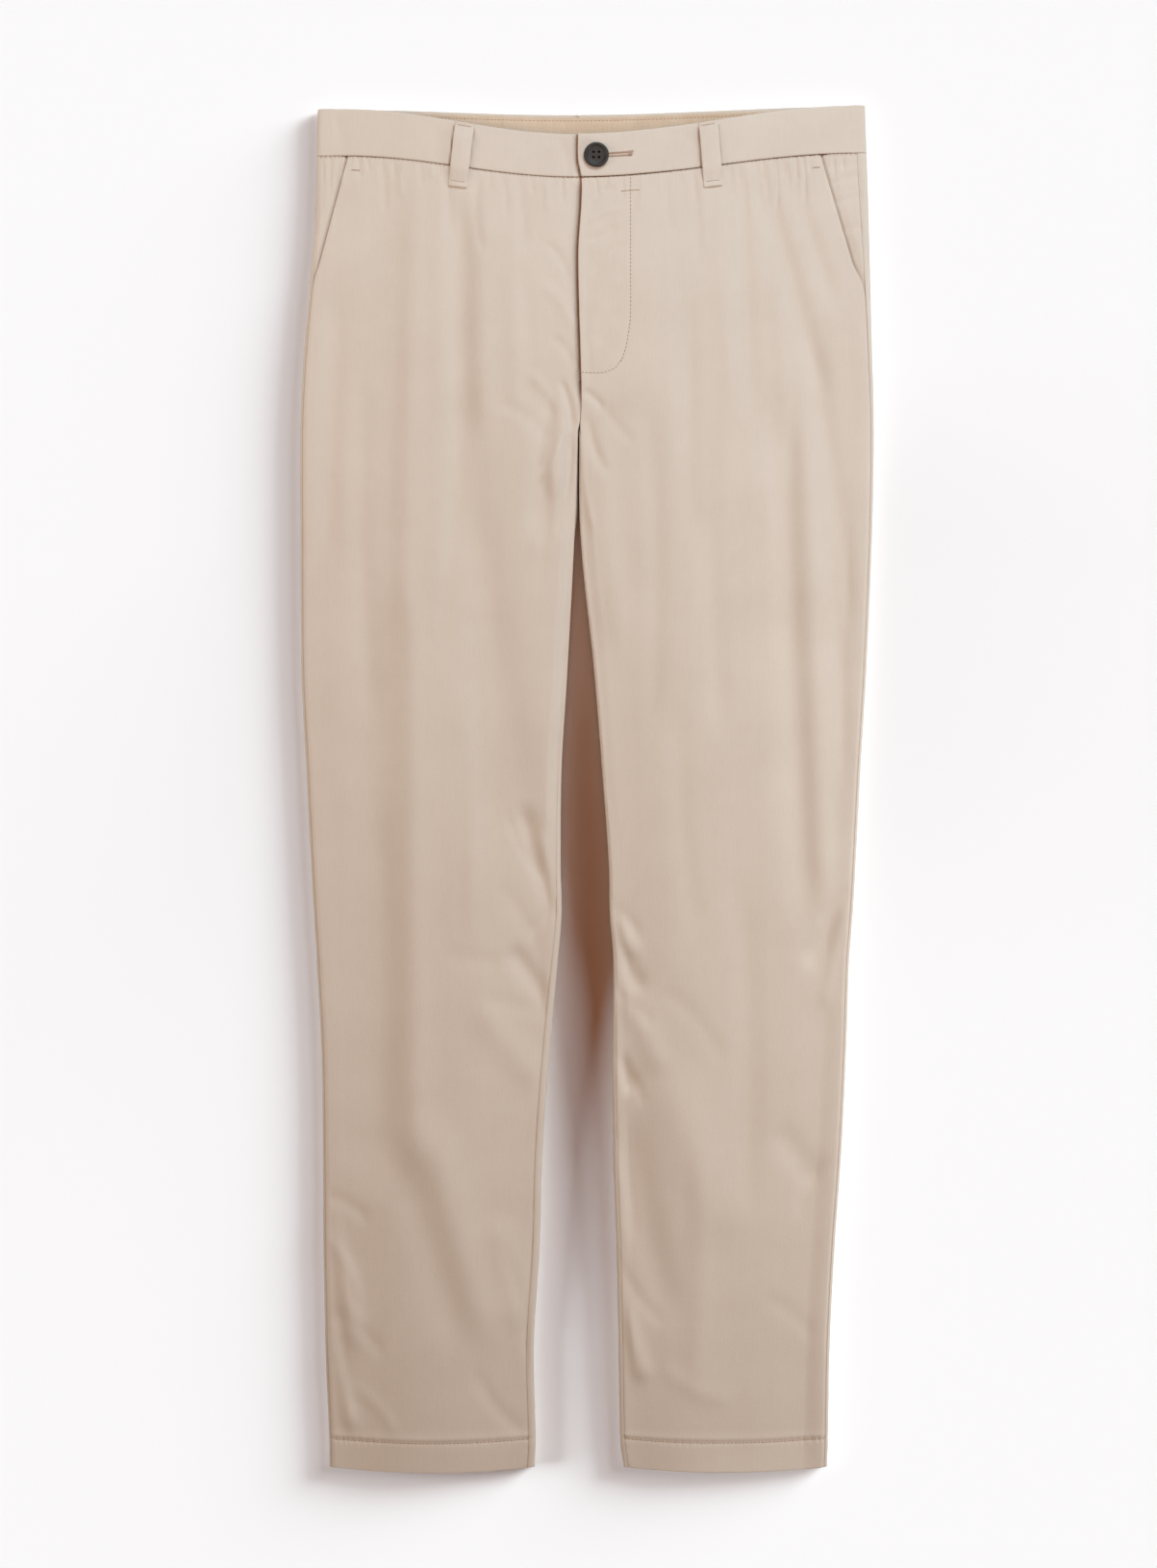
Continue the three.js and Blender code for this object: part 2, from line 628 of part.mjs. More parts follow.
function fromSolid(solid) {
  const mesh = solid.getMesh();
  const geometry = new THREE.BufferGeometry();
  geometry.setAttribute('position', new THREE.BufferAttribute(mesh.vertProperties, 3));
  geometry.setIndex(new THREE.BufferAttribute(mesh.triVerts, 1));
  return geometry;
}

// A four-hole button with a raised rim round a dished face, its middle on the Z axis
function buttonGeometry() {
  const { radius, thickness, rim, holeRadius, holeOffset } = BUTTON;
  const profile = [
    new THREE.Vector2(0, 0),
    new THREE.Vector2(radius - 1.2, 0),
    new THREE.Vector2(radius, 1),
    new THREE.Vector2(radius, thickness - 0.8),
    new THREE.Vector2(radius - 0.8, thickness),
    new THREE.Vector2(radius - rim - 0.4, thickness),
    new THREE.Vector2(radius - rim - 1.4, thickness - 0.9),
    new THREE.Vector2(0, thickness - 1.1),
  ];
  const disc = new THREE.LatheGeometry(profile, 28);
  disc.rotateX(Math.PI / 2);
  let solid = toSolid(disc);
  for (const [signX, signY] of [[1, 1], [1, -1], [-1, 1], [-1, -1]]) {
    const drill = new THREE.CylinderGeometry(holeRadius, holeRadius, 3 * thickness, 12);
    drill.rotateX(Math.PI / 2);
    drill.translate(signX * holeOffset, signY * holeOffset, 0);
    solid = solid.subtract(toSolid(drill));
  }
  return fromSolid(solid);
}

const shell = new THREE.MeshStandardMaterial({ color: '#cdb9a8', roughness: 0.85, metalness: 0 });
const facing = new THREE.MeshStandardMaterial({ color: '#d3c0ae', roughness: 0.9, metalness: 0 });
const horn = new THREE.MeshStandardMaterial({ color: '#3f3b3a', roughness: 0.5, metalness: 0 });

const trousers = new THREE.Group();

function addPiece(name, geometry, material) {
  const mesh = new THREE.Mesh(geometry, material);
  mesh.name = name;
  trousers.add(mesh);
  return mesh;
}

for (const side of ['right', 'left']) {
  addPiece(`front_${side}`, frontPanel(side), shell);
  addPiece(`back_${side}`, backPanel(side), shell);
  addPiece(`pocket_facing_${side}`, pocketFacing(side), shell);
  addPiece(`waistband_${side}`, waistband(side), shell);
}
addPiece('fly_shield', flyShield(), shell);
addPiece('waistband_facing', waistbandFacing(), facing);
for (const loop of FRONT_LOOPS) {
  addPiece(loop.name, frontLoop(loop), shell);
}
for (const loop of BACK_LOOPS) {
  addPiece(loop.name, backLoop(loop), shell);
}

const button = addPiece('waist_button', buttonGeometry(), horn);
const midBand = BAND_HEIGHT / 2;
const bandTop = (x) => frontHeight('left', x, midBand) + BAND_PROUD + lapHeight(x, midBand, BAND_LIFT);
const buttonSeat = Math.max(...spread(2, BUTTON.x - BUTTON.radius, BUTTON.x + BUTTON.radius).map(bandTop));
button.position.set(BUTTON.x, OUTSEAM / 2 - BUTTON.down, buttonSeat + SEAM_GAP + BUTTON_SEAT_EASE);

export default trousers;
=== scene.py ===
# %% [markdown]
# # Chino trousers, laid flat
# A pair of cotton chinos lies on its back with the front up, as it would on a packing table.
# The legs are two layers of cloth lying on each other, so the whole thing is about 2 cm high.
# A tailor thinks in millimetres, so every size below is in millimetres, and is divided by 1000
# where a mesh is written, because Blender's unit here is the metre.

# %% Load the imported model
import math

import bmesh
import bpy
import numpy as np
from mathutils import Matrix, Vector


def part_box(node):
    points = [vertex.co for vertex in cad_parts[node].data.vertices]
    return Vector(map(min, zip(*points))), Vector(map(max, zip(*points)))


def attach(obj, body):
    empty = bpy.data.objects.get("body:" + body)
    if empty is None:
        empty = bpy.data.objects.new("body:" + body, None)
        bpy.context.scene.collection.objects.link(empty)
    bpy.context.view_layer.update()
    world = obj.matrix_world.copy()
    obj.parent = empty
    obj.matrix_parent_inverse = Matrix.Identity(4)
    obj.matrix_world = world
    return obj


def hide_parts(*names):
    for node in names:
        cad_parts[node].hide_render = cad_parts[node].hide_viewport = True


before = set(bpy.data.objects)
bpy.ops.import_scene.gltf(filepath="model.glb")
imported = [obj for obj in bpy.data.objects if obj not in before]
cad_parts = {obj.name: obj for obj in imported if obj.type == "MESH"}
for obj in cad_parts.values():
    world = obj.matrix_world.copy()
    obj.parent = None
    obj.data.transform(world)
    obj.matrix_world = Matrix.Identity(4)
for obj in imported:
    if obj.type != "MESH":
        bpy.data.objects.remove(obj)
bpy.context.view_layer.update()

# %% [markdown]
# ## Camera
# The picture is a product shot from straight above. One pixel of it is 0.75 mm on the table, so the
# frame is 902 mm wide and 1222 mm high. A long lens from 3 m keeps the 2 cm of height from leaning.

# %% Camera straight above the table
MM = 0.001
PIXEL = 0.75
PICTURE = (1203, 1630)
FRAME_CENTRE = (-6.75, 3.4)
CAMERA_HEIGHT = 3000
FOCUS_HEIGHT = 10
SENSOR = 36

camera_data = bpy.data.cameras.new("table_camera")
camera = bpy.data.objects.new("table_camera", camera_data)
bpy.context.scene.collection.objects.link(camera)
bpy.context.scene.camera = camera
camera.location = (FRAME_CENTRE[0] * MM, FRAME_CENTRE[1] * MM, CAMERA_HEIGHT * MM)
camera_data.sensor_width = SENSOR
camera_data.lens = SENSOR * (CAMERA_HEIGHT - FOCUS_HEIGHT) / (PICTURE[1] * PIXEL)
print("lens", round(camera_data.lens, 1), "mm")

# %% [markdown]
# ## The cut of the garment
# The same named sizes and tables as in the solids are used here, so that each finished piece lies
# on its solid. Only the folds are finer than there, and the back of the waist sags 2 mm less, so
# that as much of it shows above the front as in a real pair. "down" is the distance down the garment
# from the top of the waist, and right and left are the wearer's.

# %% Sizes in millimetres
OUTSEAM = 1066
BAND_HEIGHT = 37.5
POCKET_END = 129
FLY_END = 212
FORK_FRONT = 261
FORK_BACK = 316
FORK_BLEND = 14
HEM_DEPTH = 23
WALL = 1.2
HEM_WALL = 2.2
BAND_WALL = 1.8
SEAM_GAP = 0.3
BAND_PROUD = 0.6
CENTRE_X = -6.5
PANEL_UNDERLAP = 8
BAND_UNDERLAP = 42
PANEL_LIFT = WALL + SEAM_GAP
BAND_LIFT = BAND_WALL + SEAM_GAP
LAP_FLAT = 50
LAP_EASE = 40
SEAM_SHUT = 0.1
POCKET_CORNER = 7
MOUTH_SHUT = 152
LOOP_WIDTH = 15
LOOP_WALL = 1.3
LOOP_END = BAND_HEIGHT + 17
BACK_LOOP_REST = LOOP_WALL + SEAM_GAP
OUTWARD = {"right": -1, "left": 1}
POCKET = {"right": (-186.4, -208.5), "left": (181.9, 206.5)}
LEG_ARCH = {"right": 1.15, "left": 1.7}
print("legs", OUTSEAM, "mm long,", "waistband", BAND_HEIGHT, "mm high")


# %% Tables of the outline, the heights and the main folds
def table_of(names, rows):
    """A short table as one array of numbers for each named column."""
    return dict(zip(names.split(), np.array(rows, dtype=float).T))


OUTLINE = table_of("down right_outer right_inner left_inner left_outer", [
    (0, -210.4, -7, -6, 217),
    (90, -212.6, -7, -6, 220),
    (188, -220.9, -7, -6, 222.4),
    (248, -223.9, -7, -6, 223.9),
    (338, -223.9, -10, -5, 222.4),
    (443, -223.1, -15.5, 5.6, 217.9),
    (518, -219.4, -19.9, 11.6, 213.4),
    (593, -215.6, -20.6, 16.9, 209.6),
    (631, -213.4, -19.9, 17.6, 207.4),
    (668, -211.1, -22.9, 20.4, 204.6),
    (743, -207.4, -29.6, 19.9, 202.1),
    (818, -206.4, -34.9, 20.6, 198.4),
    (893, -205.9, -37.1, 22.9, 193.1),
    (968, -204.4, -41.6, 24.4, 189.4),
    (1047, -201.4, -40.1, 25.9, 188),
    (1066, -201.4, -41, 28.5, 187.4),
])
HEIGHTS = table_of("down side inner arch", [
    (0, 9, 11, 3.6),
    (40, 9.5, 11.5, 4.6),
    (110, 11, 12, 6.5),
    (190, 12, 12.5, 7.5),
    (261, 12, 13.5, 7),
    (338, 12, 14, 7),
    (443, 11.5, 14, 7.5),
    (631, 11.5, 13, 7),
    (818, 11.5, 12, 6.5),
    (968, 11.5, 11.5, 5.5),
    (1066, 11, 11, 4.5),
])
FLY_EDGE = table_of("down shift", [
    (0, -0.6),
    (22, -0.6),
    (38, 2),
    (60, 1.8),
    (105, -0.6),
    (195, 1.4),
    (231, 1.8),
    (262, 0),
])
# How far inside the outline each seam lies, and how round the inner edge is
SEAMS = table_of("down right_side left_side right_inseam left_inseam corner", [
    (0, 2.4, 7.6, 0.8, 0.8, 1.6),
    (60, 2.4, 7.4, 0.8, 0.8, 1.6),
    (128, 2.1, 4.9, 0.8, 0.8, 1.6),
    (190, 1.9, 3.1, 0.8, 0.8, 1.6),
    (270, 1.7, 2.2, 0.8, 0.8, 1.7),
    (400, 1.6, 2, 1.1, 1, 2.4),
    (560, 1.6, 2, 3, 1.6, 3),
    (700, 1.5, 2, 5.1, 2.2, 3.4),
    (900, 1.5, 2.1, 5.4, 3.1, 3.4),
    (1066, 1.5, 2.2, 5.4, 3.4, 3.4),
])
# Each fold is a soft trough (below zero) or ridge: from x, down to x, down, its width and its depth
FOLDS = [
    # right thigh
    (-152, 62, -158, 420, 60, -2),
    (-134, 60, -142, 400, 20, 1.4),
    (-99, 72, -96, 260, 22, -2.6),
    (-84, 70, -80, 240, 20, 1.2),
    (-100, 240, -72, 570, 40, -2.6),
    (-34, 250, -24, 570, 66, 3.4),
    (-84, 330, -46, 560, 30, -1.2),
    (-196, 150, -203, 340, 22, -1.6),
    (-60, 90, -50, 250, 30, 1),
    # crotch
    (-9, 208, -26, 300, 13, 2.4),
    (-27, 226, -40, 330, 18, -2.6),
    # right knee and shin
    (-164, 400, -164, 830, 44, -2.2),
    (-137, 380, -135, 830, 26, 2),
    (-124, 800, -78, 960, 34, 2.4),
    (-142, 820, -100, 960, 34, -1.4),
    (-50, 552, -25, 628, 15, -2.6),
    (-38, 570, -21, 640, 12, 1.8),
    (-58, 660, -28, 702, 16, -2.4),
    (-84, 704, -40, 760, 26, 1.3),
    (-70, 872, -54, 950, 26, 1.4),
    (-206, 868, -180, 962, 17, 2),
    (-206, 902, -192, 985, 15, -1.4),
    (-205, 968, -184, 1032, 15, 1.8),
    # left thigh
    (140, 40, 142, 420, 110, -2.6),
    (120, 62, 126, 230, 17, -1.6),
    (140, 66, 180, 216, 19, -2.2),
    (157, 50, 190, 150, 16, -1.4),
    (101, 58, 114, 220, 20, 1.2),
    (76, 150, 82, 330, 18, -1.4),
    (152, 240, 168, 620, 26, -2.6),
    (168, 250, 184, 620, 22, 1.6),
    (176, 190, 206, 400, 20, -1.6),
    (4, 262, 26, 420, 22, 1.4),
    # left knee and shin
    (140, 400, 132, 1070, 110, -2.8),
    (20, 634, 38, 662, 14, 1.4),
    (24, 660, 42, 690, 14, -1.7),
    (22, 742, 34, 768, 13, -2.2),
    (30, 690, 58, 752, 22, 1.4),
    (204, 626, 172, 668, 16, -1.9),
    (205, 648, 184, 700, 14, 1.2),
    (62, 760, 110, 880, 44, 1.6),
    (30, 800, 62, 940, 28, -1.8),
    (28, 940, 44, 992, 15, 1.7),
    (150, 800, 178, 840, 22, -1.2),
]
FOLD_DEPTH = 1.5
print(len(FOLDS), "main folds")


# %% Small curves
def clamp(value):
    """Keeps a share between 0 and 1."""
    return np.clip(value, 0.0, 1.0)


def mix(start, end, share):
    """A value part of the way from one to another."""
    return start + (end - start) * share


def ease(start, end, value):
    """Rises softly from 0 to 1 as value goes from start to end."""
    share = clamp((value - start) / (end - start))
    return share * share * (3 - 2 * share)


def read_table(table, name, down):
    """A column of a table, read as a smooth curve through its rows."""
    rows, values = table["down"], table[name]
    last = len(rows) - 1
    before = np.maximum(np.arange(last + 1) - 1, 0)
    after = np.minimum(np.arange(last + 1) + 1, last)
    slopes = (values[after] - values[before]) / (rows[after] - rows[before])
    index = np.clip(np.searchsorted(rows, down, side="right") - 1, 0, last - 1)
    span = rows[index + 1] - rows[index]
    t = clamp((down - rows[index]) / span)
    t2 = t * t
    t3 = t2 * t
    start = (2 * t3 - 3 * t2 + 1) * values[index] + (t3 - 2 * t2 + t) * span * slopes[index]
    return start + (3 * t2 - 2 * t3) * values[index + 1] + (t3 - t2) * span * slopes[index + 1]


def leg(side, down):
    """One leg's section at a distance down: its edges, corner radii and heights."""
    seat = CENTRE_X + OUTWARD[side] * SEAM_GAP / 2
    leg_inner = read_table(OUTLINE, side + "_inner", down)
    parted_front = ease(FORK_FRONT - FORK_BLEND, FORK_FRONT, down)
    parted_back = ease(FORK_BACK - 2, FORK_BACK + 24, down)
    lift = BACK_LOOP_REST * (1 - ease(LOOP_END + 4, 92, down))
    side_height = read_table(HEIGHTS, "side", down)
    return {
        "outer": read_table(OUTLINE, side + "_outer", down),
        "inner": mix(seat, leg_inner, parted_front),
        "floor_inner": mix(seat, leg_inner, parted_back),
        "parted": parted_front,
        "lift": lift,
        "side_height": side_height,
        "side_radius": (side_height - lift) / 2,
        "inner_height": read_table(HEIGHTS, "inner", down),
        "arch": read_table(HEIGHTS, "arch", down),
        "split": ease(235, 335, down),
    }


def inset(seam, down):
    """How far inside the outline a seam lies, such as right_side or left_inseam."""
    return read_table(SEAMS, seam, down)


knee = leg("left", 631.0)
print("leg is", round(float(knee["outer"] - knee["inner"])), "mm wide at the knee")


# %% [markdown]
# ## Creases
# Pressed cotton keeps two kinds of crease. The long soft ones, in the table of folds above, come
# from how the trousers were folded and carried. The short sharp ones come from a seam that is a
# little tighter than the cloth beside it. Each is listed on its own, since no two are alike: a row
# says where a crease starts and ends, how wide and deep it is, and how far it bows to one side. The
# smallest are puckers, which a tight thread draws in the cloth beside it, a few millimetres apart.

# %% Short creases and seam puckers
CREASES = [
    # under the right band, beside the pocket
    (-207, 40, -207, 58, 3.4, -0.25, 0.5),
    (-203.5, 39, -204, 76, 3, 0.2, 0.5),
    (-200, 39, -201, 66, 3, -0.25, 0),
    (-196.5, 40, -200, 96, 4, 0.15, 1),
    (-193.5, 39, -193, 52, 3, -0.25, 0),
    (-190, 39, -191, 60, 3.4, 0.3, 0),
    (-178, 40, -177, 54, 3.4, -0.3, 0),
    (-171, 40, -170, 48, 3, -0.3, 0),
    (-160, 41, -158, 78, 6, -0.35, 1),
    (-151, 40, -150, 52, 3.6, -0.3, 0),
    (-143, 40, -145, 66, 5, 0.3, -1),
    (-130, 40, -129, 56, 4, -0.3, 0),
    (-121, 40, -121, 50, 3.4, 0.25, 0),
    (-111, 41, -108, 92, 7, -0.45, 1.5),
    (-86, 46, -82, 104, 8, -0.5, -2),
    (-76, 40, -76, 54, 3.6, -0.3, 0),
    (-66, 40, -63, 74, 5, -0.3, 1),
    (-54, 40, -50, 98, 8, -0.35, 2),
    (-43, 40, -43, 52, 3.4, -0.25, 0),
    (-33, 40, -31, 66, 5, 0.3, 1),
    (-20, 40, -19, 58, 4, -0.3, 0),
    # under the left band
    (7, 40, 8, 54, 3.4, -0.3, 0),
    (15, 40, 13, 50, 3, -0.3, 0),
    (27, 40, 28, 58, 4, -0.3, 0),
    (43, 41, 41, 66, 5, 0.3, 1),
    (53, 40, 52, 54, 3.6, -0.3, 0),
    (62, 40, 66, 90, 7, -0.4, -2),
    (72, 40, 73, 52, 3.4, -0.3, 0),
    (81, 40, 84, 66, 4.4, -0.35, 1),
    (88, 40, 92, 104, 7, 0.4, 1),
    (111, 40, 113, 64, 4.4, -0.4, 1),
    (118, 40, 118, 52, 3.4, -0.4, 0),
    (124, 40, 128, 84, 5, 0.4, 1),
    (131, 39, 134, 72, 4, -0.5, 1),
    (137, 39, 137, 54, 3, -0.45, 0),
    (142, 39, 144, 62, 3.2, 0.35, 0),
    (147, 39, 148, 78, 3.6, -0.5, 1),
    (153, 39, 153, 52, 3, -0.45, 0),
    (157.5, 39, 160, 66, 3.4, 0.35, 1),
    (163, 39, 164, 56, 3, -0.5, 0),
    (168, 39, 170, 74, 3.6, -0.4, 1),
    (174, 39, 174, 50, 3, -0.4, 0),
    (192, 40, 193, 54, 3.4, -0.4, 0),
    (199, 40, 200, 50, 3, -0.4, 0),
    # across the left pocket facing, from the side seam
    (190, 62, 214, 55, 5, -0.5, 1),
    (193, 76, 216, 70, 5, -0.5, -1),
    (196, 98, 217, 96, 6, -0.4, 0),
    (188, 48, 210, 46, 4, -0.4, 0),
    # down the fly
    (0, 60, 20, 48, 6, -0.4, 2),
    (1, 76, 26, 66, 6, 0.35, 2),
    (0, 92, 22, 82, 7, -0.4, -2),
    (4, 120, 30, 96, 8, -0.35, 3),
    (6, 150, 26, 128, 9, 0.3, 2),
    (8, 180, 25, 154, 10, -0.35, 2),
    (-4, 150, 0, 205, 9, -0.4, 0),
    (-30, 96, -12, 128, 8, -0.4, 2),
    (-34, 130, -10, 168, 10, 0.35, 3),
    (-26, 176, -10, 200, 8, -0.4, 2),
    # round the crotch
    (-20, 214, -12, 252, 6, -0.9, 2),
    (-17, 250, -36, 292, 7, 0.8, 3),
    (-12, 262, -22, 330, 6, -0.8, 2),
    (-2, 222, 12, 236, 6, -0.8, 1),
    (0, 246, 14, 286, 8, -0.7, -2),
    (-3, 268, 4, 330, 6, 0.6, -2),
    (-66, 232, -30, 262, 12, -0.5, 3),
    (-44, 208, -24, 236, 9, 0.5, 2),
    (-30, 300, -40, 372, 10, -0.5, 3),
    (14, 236, 34, 262, 9, -0.4, -2),
    # right knee
    (-62, 556, -34, 604, 9, -0.5, -3),
    (-44, 646, -24, 626, 8, -0.5, 1),
    (-76, 700, -34, 708, 11, -0.35, 2),
    (-66, 610, -34, 676, 13, -0.4, 4),
    (-108, 664, -70, 668, 12, -0.3, 1),
    # right shin and hem
    (-205, 850, -172, 868, 9, -0.45, 3),
    (-202, 884, -178, 930, 10, 0.4, 4),
    (-198, 942, -160, 972, 11, -0.4, 3),
    (-60, 900, -44, 985, 11, -0.35, 2),
    (-86, 990, -52, 1036, 12, -0.35, -3),
    (-180, 1000, -150, 1034, 11, 0.3, 3),
    # left knee
    (22, 628, 40, 648, 9, -0.5, 2),
    (22, 692, 50, 716, 9, -0.45, 2),
    (24, 744, 44, 776, 9, -0.4, 2),
    (206, 612, 182, 636, 9, -0.45, -2),
    (60, 690, 104, 742, 13, -0.35, 4),
    # left shin and hem
    (24, 806, 36, 880, 10, -0.4, 2),
    (28, 908, 58, 948, 10, -0.4, -3),
    (186, 824, 164, 862, 11, -0.35, -3),
    (140, 930, 176, 960, 12, -0.3, 3),
    (60, 985, 110, 1010, 13, 0.3, -4),
    # long faint ones over the thighs
    (-100, 150, -112, 420, 16, -0.6, 4),
    (-176, 210, -168, 470, 18, -0.7, -4),
    (-50, 120, -46, 240, 14, -0.5, 2),
    (-96, 470, -90, 640, 16, 0.5, 3),
    (-160, 560, -158, 800, 20, -0.7, 4),
    (96, 230, 104, 480, 18, -0.6, -4),
    (48, 240, 52, 470, 16, -0.6, 4),
    (150, 130, 152, 300, 14, 0.5, 2),
    (186, 330, 200, 520, 14, -0.6, 3),
    (70, 480, 84, 640, 18, -0.5, -3),
    (120, 620, 124, 840, 22, -0.7, 4),
    (88, 820, 84, 1000, 20, 0.6, 3),
]


def crease_height(creases, x, down):
    """How far a list of creases lowers or raises the cloth at each place."""
    total = np.zeros_like(x * down)
    for x0, down0, x1, down1, width, depth, *bow in creases:
        run_x, run_down = x1 - x0, down1 - down0
        length = math.hypot(run_x, run_down)
        along = ((x - x0) * run_x + (down - down0) * run_down) / length
        across = ((x - x0) * run_down - (down - down0) * run_x) / length
        across = across - sum(bow) * np.sin(math.pi * clamp(along / length))
        end = min(0.3 * length, 60)
        fade = ease(-end / 2, end / 2, along) * (1 - ease(length - end / 2, length + end / 2, along))
        total = total + depth * fade * np.exp(-((across / (width / 2)) ** 2))
    return total


CREASE_DEPTH = 2.2
print(len(CREASES), "short creases")


# %% [markdown]
# ## Where the cloth lies
# The front is an arch over each leg, with a half round at the side fold and a small round at the
# inner edge. The waist sags away from its corners, more in front than at the back, which is what
# opens it. A drawn surface like this is a function: give it a place on the cloth, and it gives back
# the height. Every panel, stitch and belt loop is then laid on the same surface.

# %% Heights of the front
def corner_drop(distance, radius):
    """How far a rounded edge has dropped at a distance in from it."""
    short = np.maximum(0, radius - distance)
    return radius - np.sqrt(np.maximum(radius * radius - short * short, 0))


def one_side_height(side, x, down):
    """Height of the front's outer surface over one leg, with its folds and creases."""
    section = leg(side, down)
    outward = OUTWARD[side]
    corner = read_table(SEAMS, "corner", down) * section["parted"]
    start = section["inner"] + outward * corner
    end = section["outer"] - outward * section["side_radius"]
    share = clamp((x - start) / (end - start))
    leg_arch = (1 + np.cos(np.pi * np.abs(2 * share - 1) ** LEG_ARCH[side])) / 2
    hip_arch = (1 + np.cos(np.pi * share ** 2.2)) / 2
    base = mix(section["inner_height"], section["side_height"], share)
    outer_fade = ease(0, 14, np.abs(end - x))
    fly_fade = ease(10, 24, np.abs(x - CENTRE_X))
    inner_fade = mix(fly_fade, ease(0, 9, np.abs(x - start)), section["split"])
    folds = FOLD_DEPTH * crease_height(FOLDS, x, down) * outer_fade * inner_fade
    fine = CREASE_DEPTH * crease_height(CREASES, x, down) * ease(0, 7, np.abs(section["outer"] - x))
    outer_drop = corner_drop(np.abs(section["outer"] - x), section["side_radius"])
    round_inside = read_table(SEAMS, "corner", down)
    inner_drop = corner_drop(np.abs(x - section["inner"]), round_inside) * section["parted"]
    arch = section["arch"] * mix(hip_arch, leg_arch, section["split"])
    return base + arch + folds + fine - outer_drop - inner_drop


def front_height(side, x, down):
    """Height of the front: above the fork each place belongs to the leg that it lies over."""
    other = "left" if side == "right" else "right"
    crossed = (down < FORK_FRONT - FORK_BLEND) & ((x - CENTRE_X) * OUTWARD[side] < 0)
    own = one_side_height(side, x, down)
    return np.where(crossed, one_side_height(other, x, down), own) if np.any(crossed) else own


def lap_height(x, down, lift):
    """The left side rides over the right at the fly."""
    past = x - CENTRE_X
    near_the_lap = 1 - ease(LAP_FLAT, LAP_FLAT + LAP_EASE, past)
    return lift * near_the_lap * (1 - ease(FLY_END + 8, FORK_FRONT - 13, down))


def lengthwise(x, down, on_front):
    """Where a place on the cloth lies along the garment, on the front (1) or the back (0)."""
    reach = np.where(x < CENTRE_X, 190, 220)
    sag_shape = np.cos(0.5 * np.pi * clamp(np.abs(x - CENTRE_X) / reach)) ** 2
    sag_fade = clamp(1 - down / 250)
    sag = mix(5.2, 21.75, on_front) * sag_shape * sag_fade
    tilt = 3 * clamp((217 - x) / 427) * sag_fade
    middle = np.where(x < CENTRE_X, -121, 108)
    bow = 4 * ((x - middle) / 80) ** 2 * ease(OUTSEAM - 90, OUTSEAM, down)
    return OUTSEAM / 2 - down - sag - tilt + bow


print("front is", round(float(front_height("left", 100.0, 300.0)), 1), "mm high over the thigh")


# %% [markdown]
# ## Seams
# The side seam lies on the front, a few millimetres inside the outline. The pocket mouth slants from
# the waistband to that seam, and the cloth in front of it is folded under.

# %% Lines of the seams and the pocket mouths
def side_seam(side, down):
    """The side seam on the front: nearer the outline down the leg than at the waist."""
    return read_table(OUTLINE, side + "_outer", down) - OUTWARD[side] * inset(side + "_side", down)


def pocket_edge(side, down):
    """The front's outer edge: the slanted pocket mouth, then the side seam."""
    seam = side_seam(side, down) - OUTWARD[side] * SEAM_SHUT / 2
    top, end = POCKET[side]
    share = (down - BAND_HEIGHT) / (POCKET_END - POCKET_CORNER - BAND_HEIGHT)
    slant = top + (end - top) * share
    return mix(slant, seam, ease(POCKET_END - POCKET_CORNER, MOUTH_SHUT, down))


def inner_edge(side, down):
    """The front's inner edge: the fly, then the crotch seam, then the inseam."""
    shift = read_table(FLY_EDGE, "shift", down)
    under = PANEL_UNDERLAP * (1 - ease(FLY_END - 14, FLY_END + 6, down)) if side == "right" else 0
    centre = CENTRE_X + OUTWARD[side] * SEAM_GAP / 2 + np.maximum(shift, under)
    if side == "left":
        centre = CENTRE_X + SEAM_GAP / 2 + shift
    leg_inner = read_table(OUTLINE, side + "_inner", down)
    inseam = leg_inner + OUTWARD[side] * (inset(side + "_inseam", down) + SEAM_SHUT / 2)
    return mix(centre, inseam, ease(FORK_FRONT - FORK_BLEND, FORK_FRONT, down))


print("pocket mouth", round(math.hypot(POCKET_END - BAND_HEIGHT, 24.6)), "mm long")


# %% [markdown]
# ## Making a piece of cloth
# A flat grid is the natural start for a piece of cloth: it has the right quads already, and each of
# its points has a place across and down the cut. The grid is laid on the surface by moving its
# points, Solidify gives it a wall, and a small Bevel rounds the cut edges. The places on the flat
# cut are kept as a UV map, in metres, so that the weave follows the cloth round every fold.

# %% A piece of cloth from a grid
def rows_between(*runs):
    """Places down a panel: each run has a start, an end and the size of its cells."""
    places = [np.linspace(a, b, max(1, round((b - a) / cell)), endpoint=False) for a, b, cell in runs]
    return np.append(np.concatenate(places), runs[-1][1])


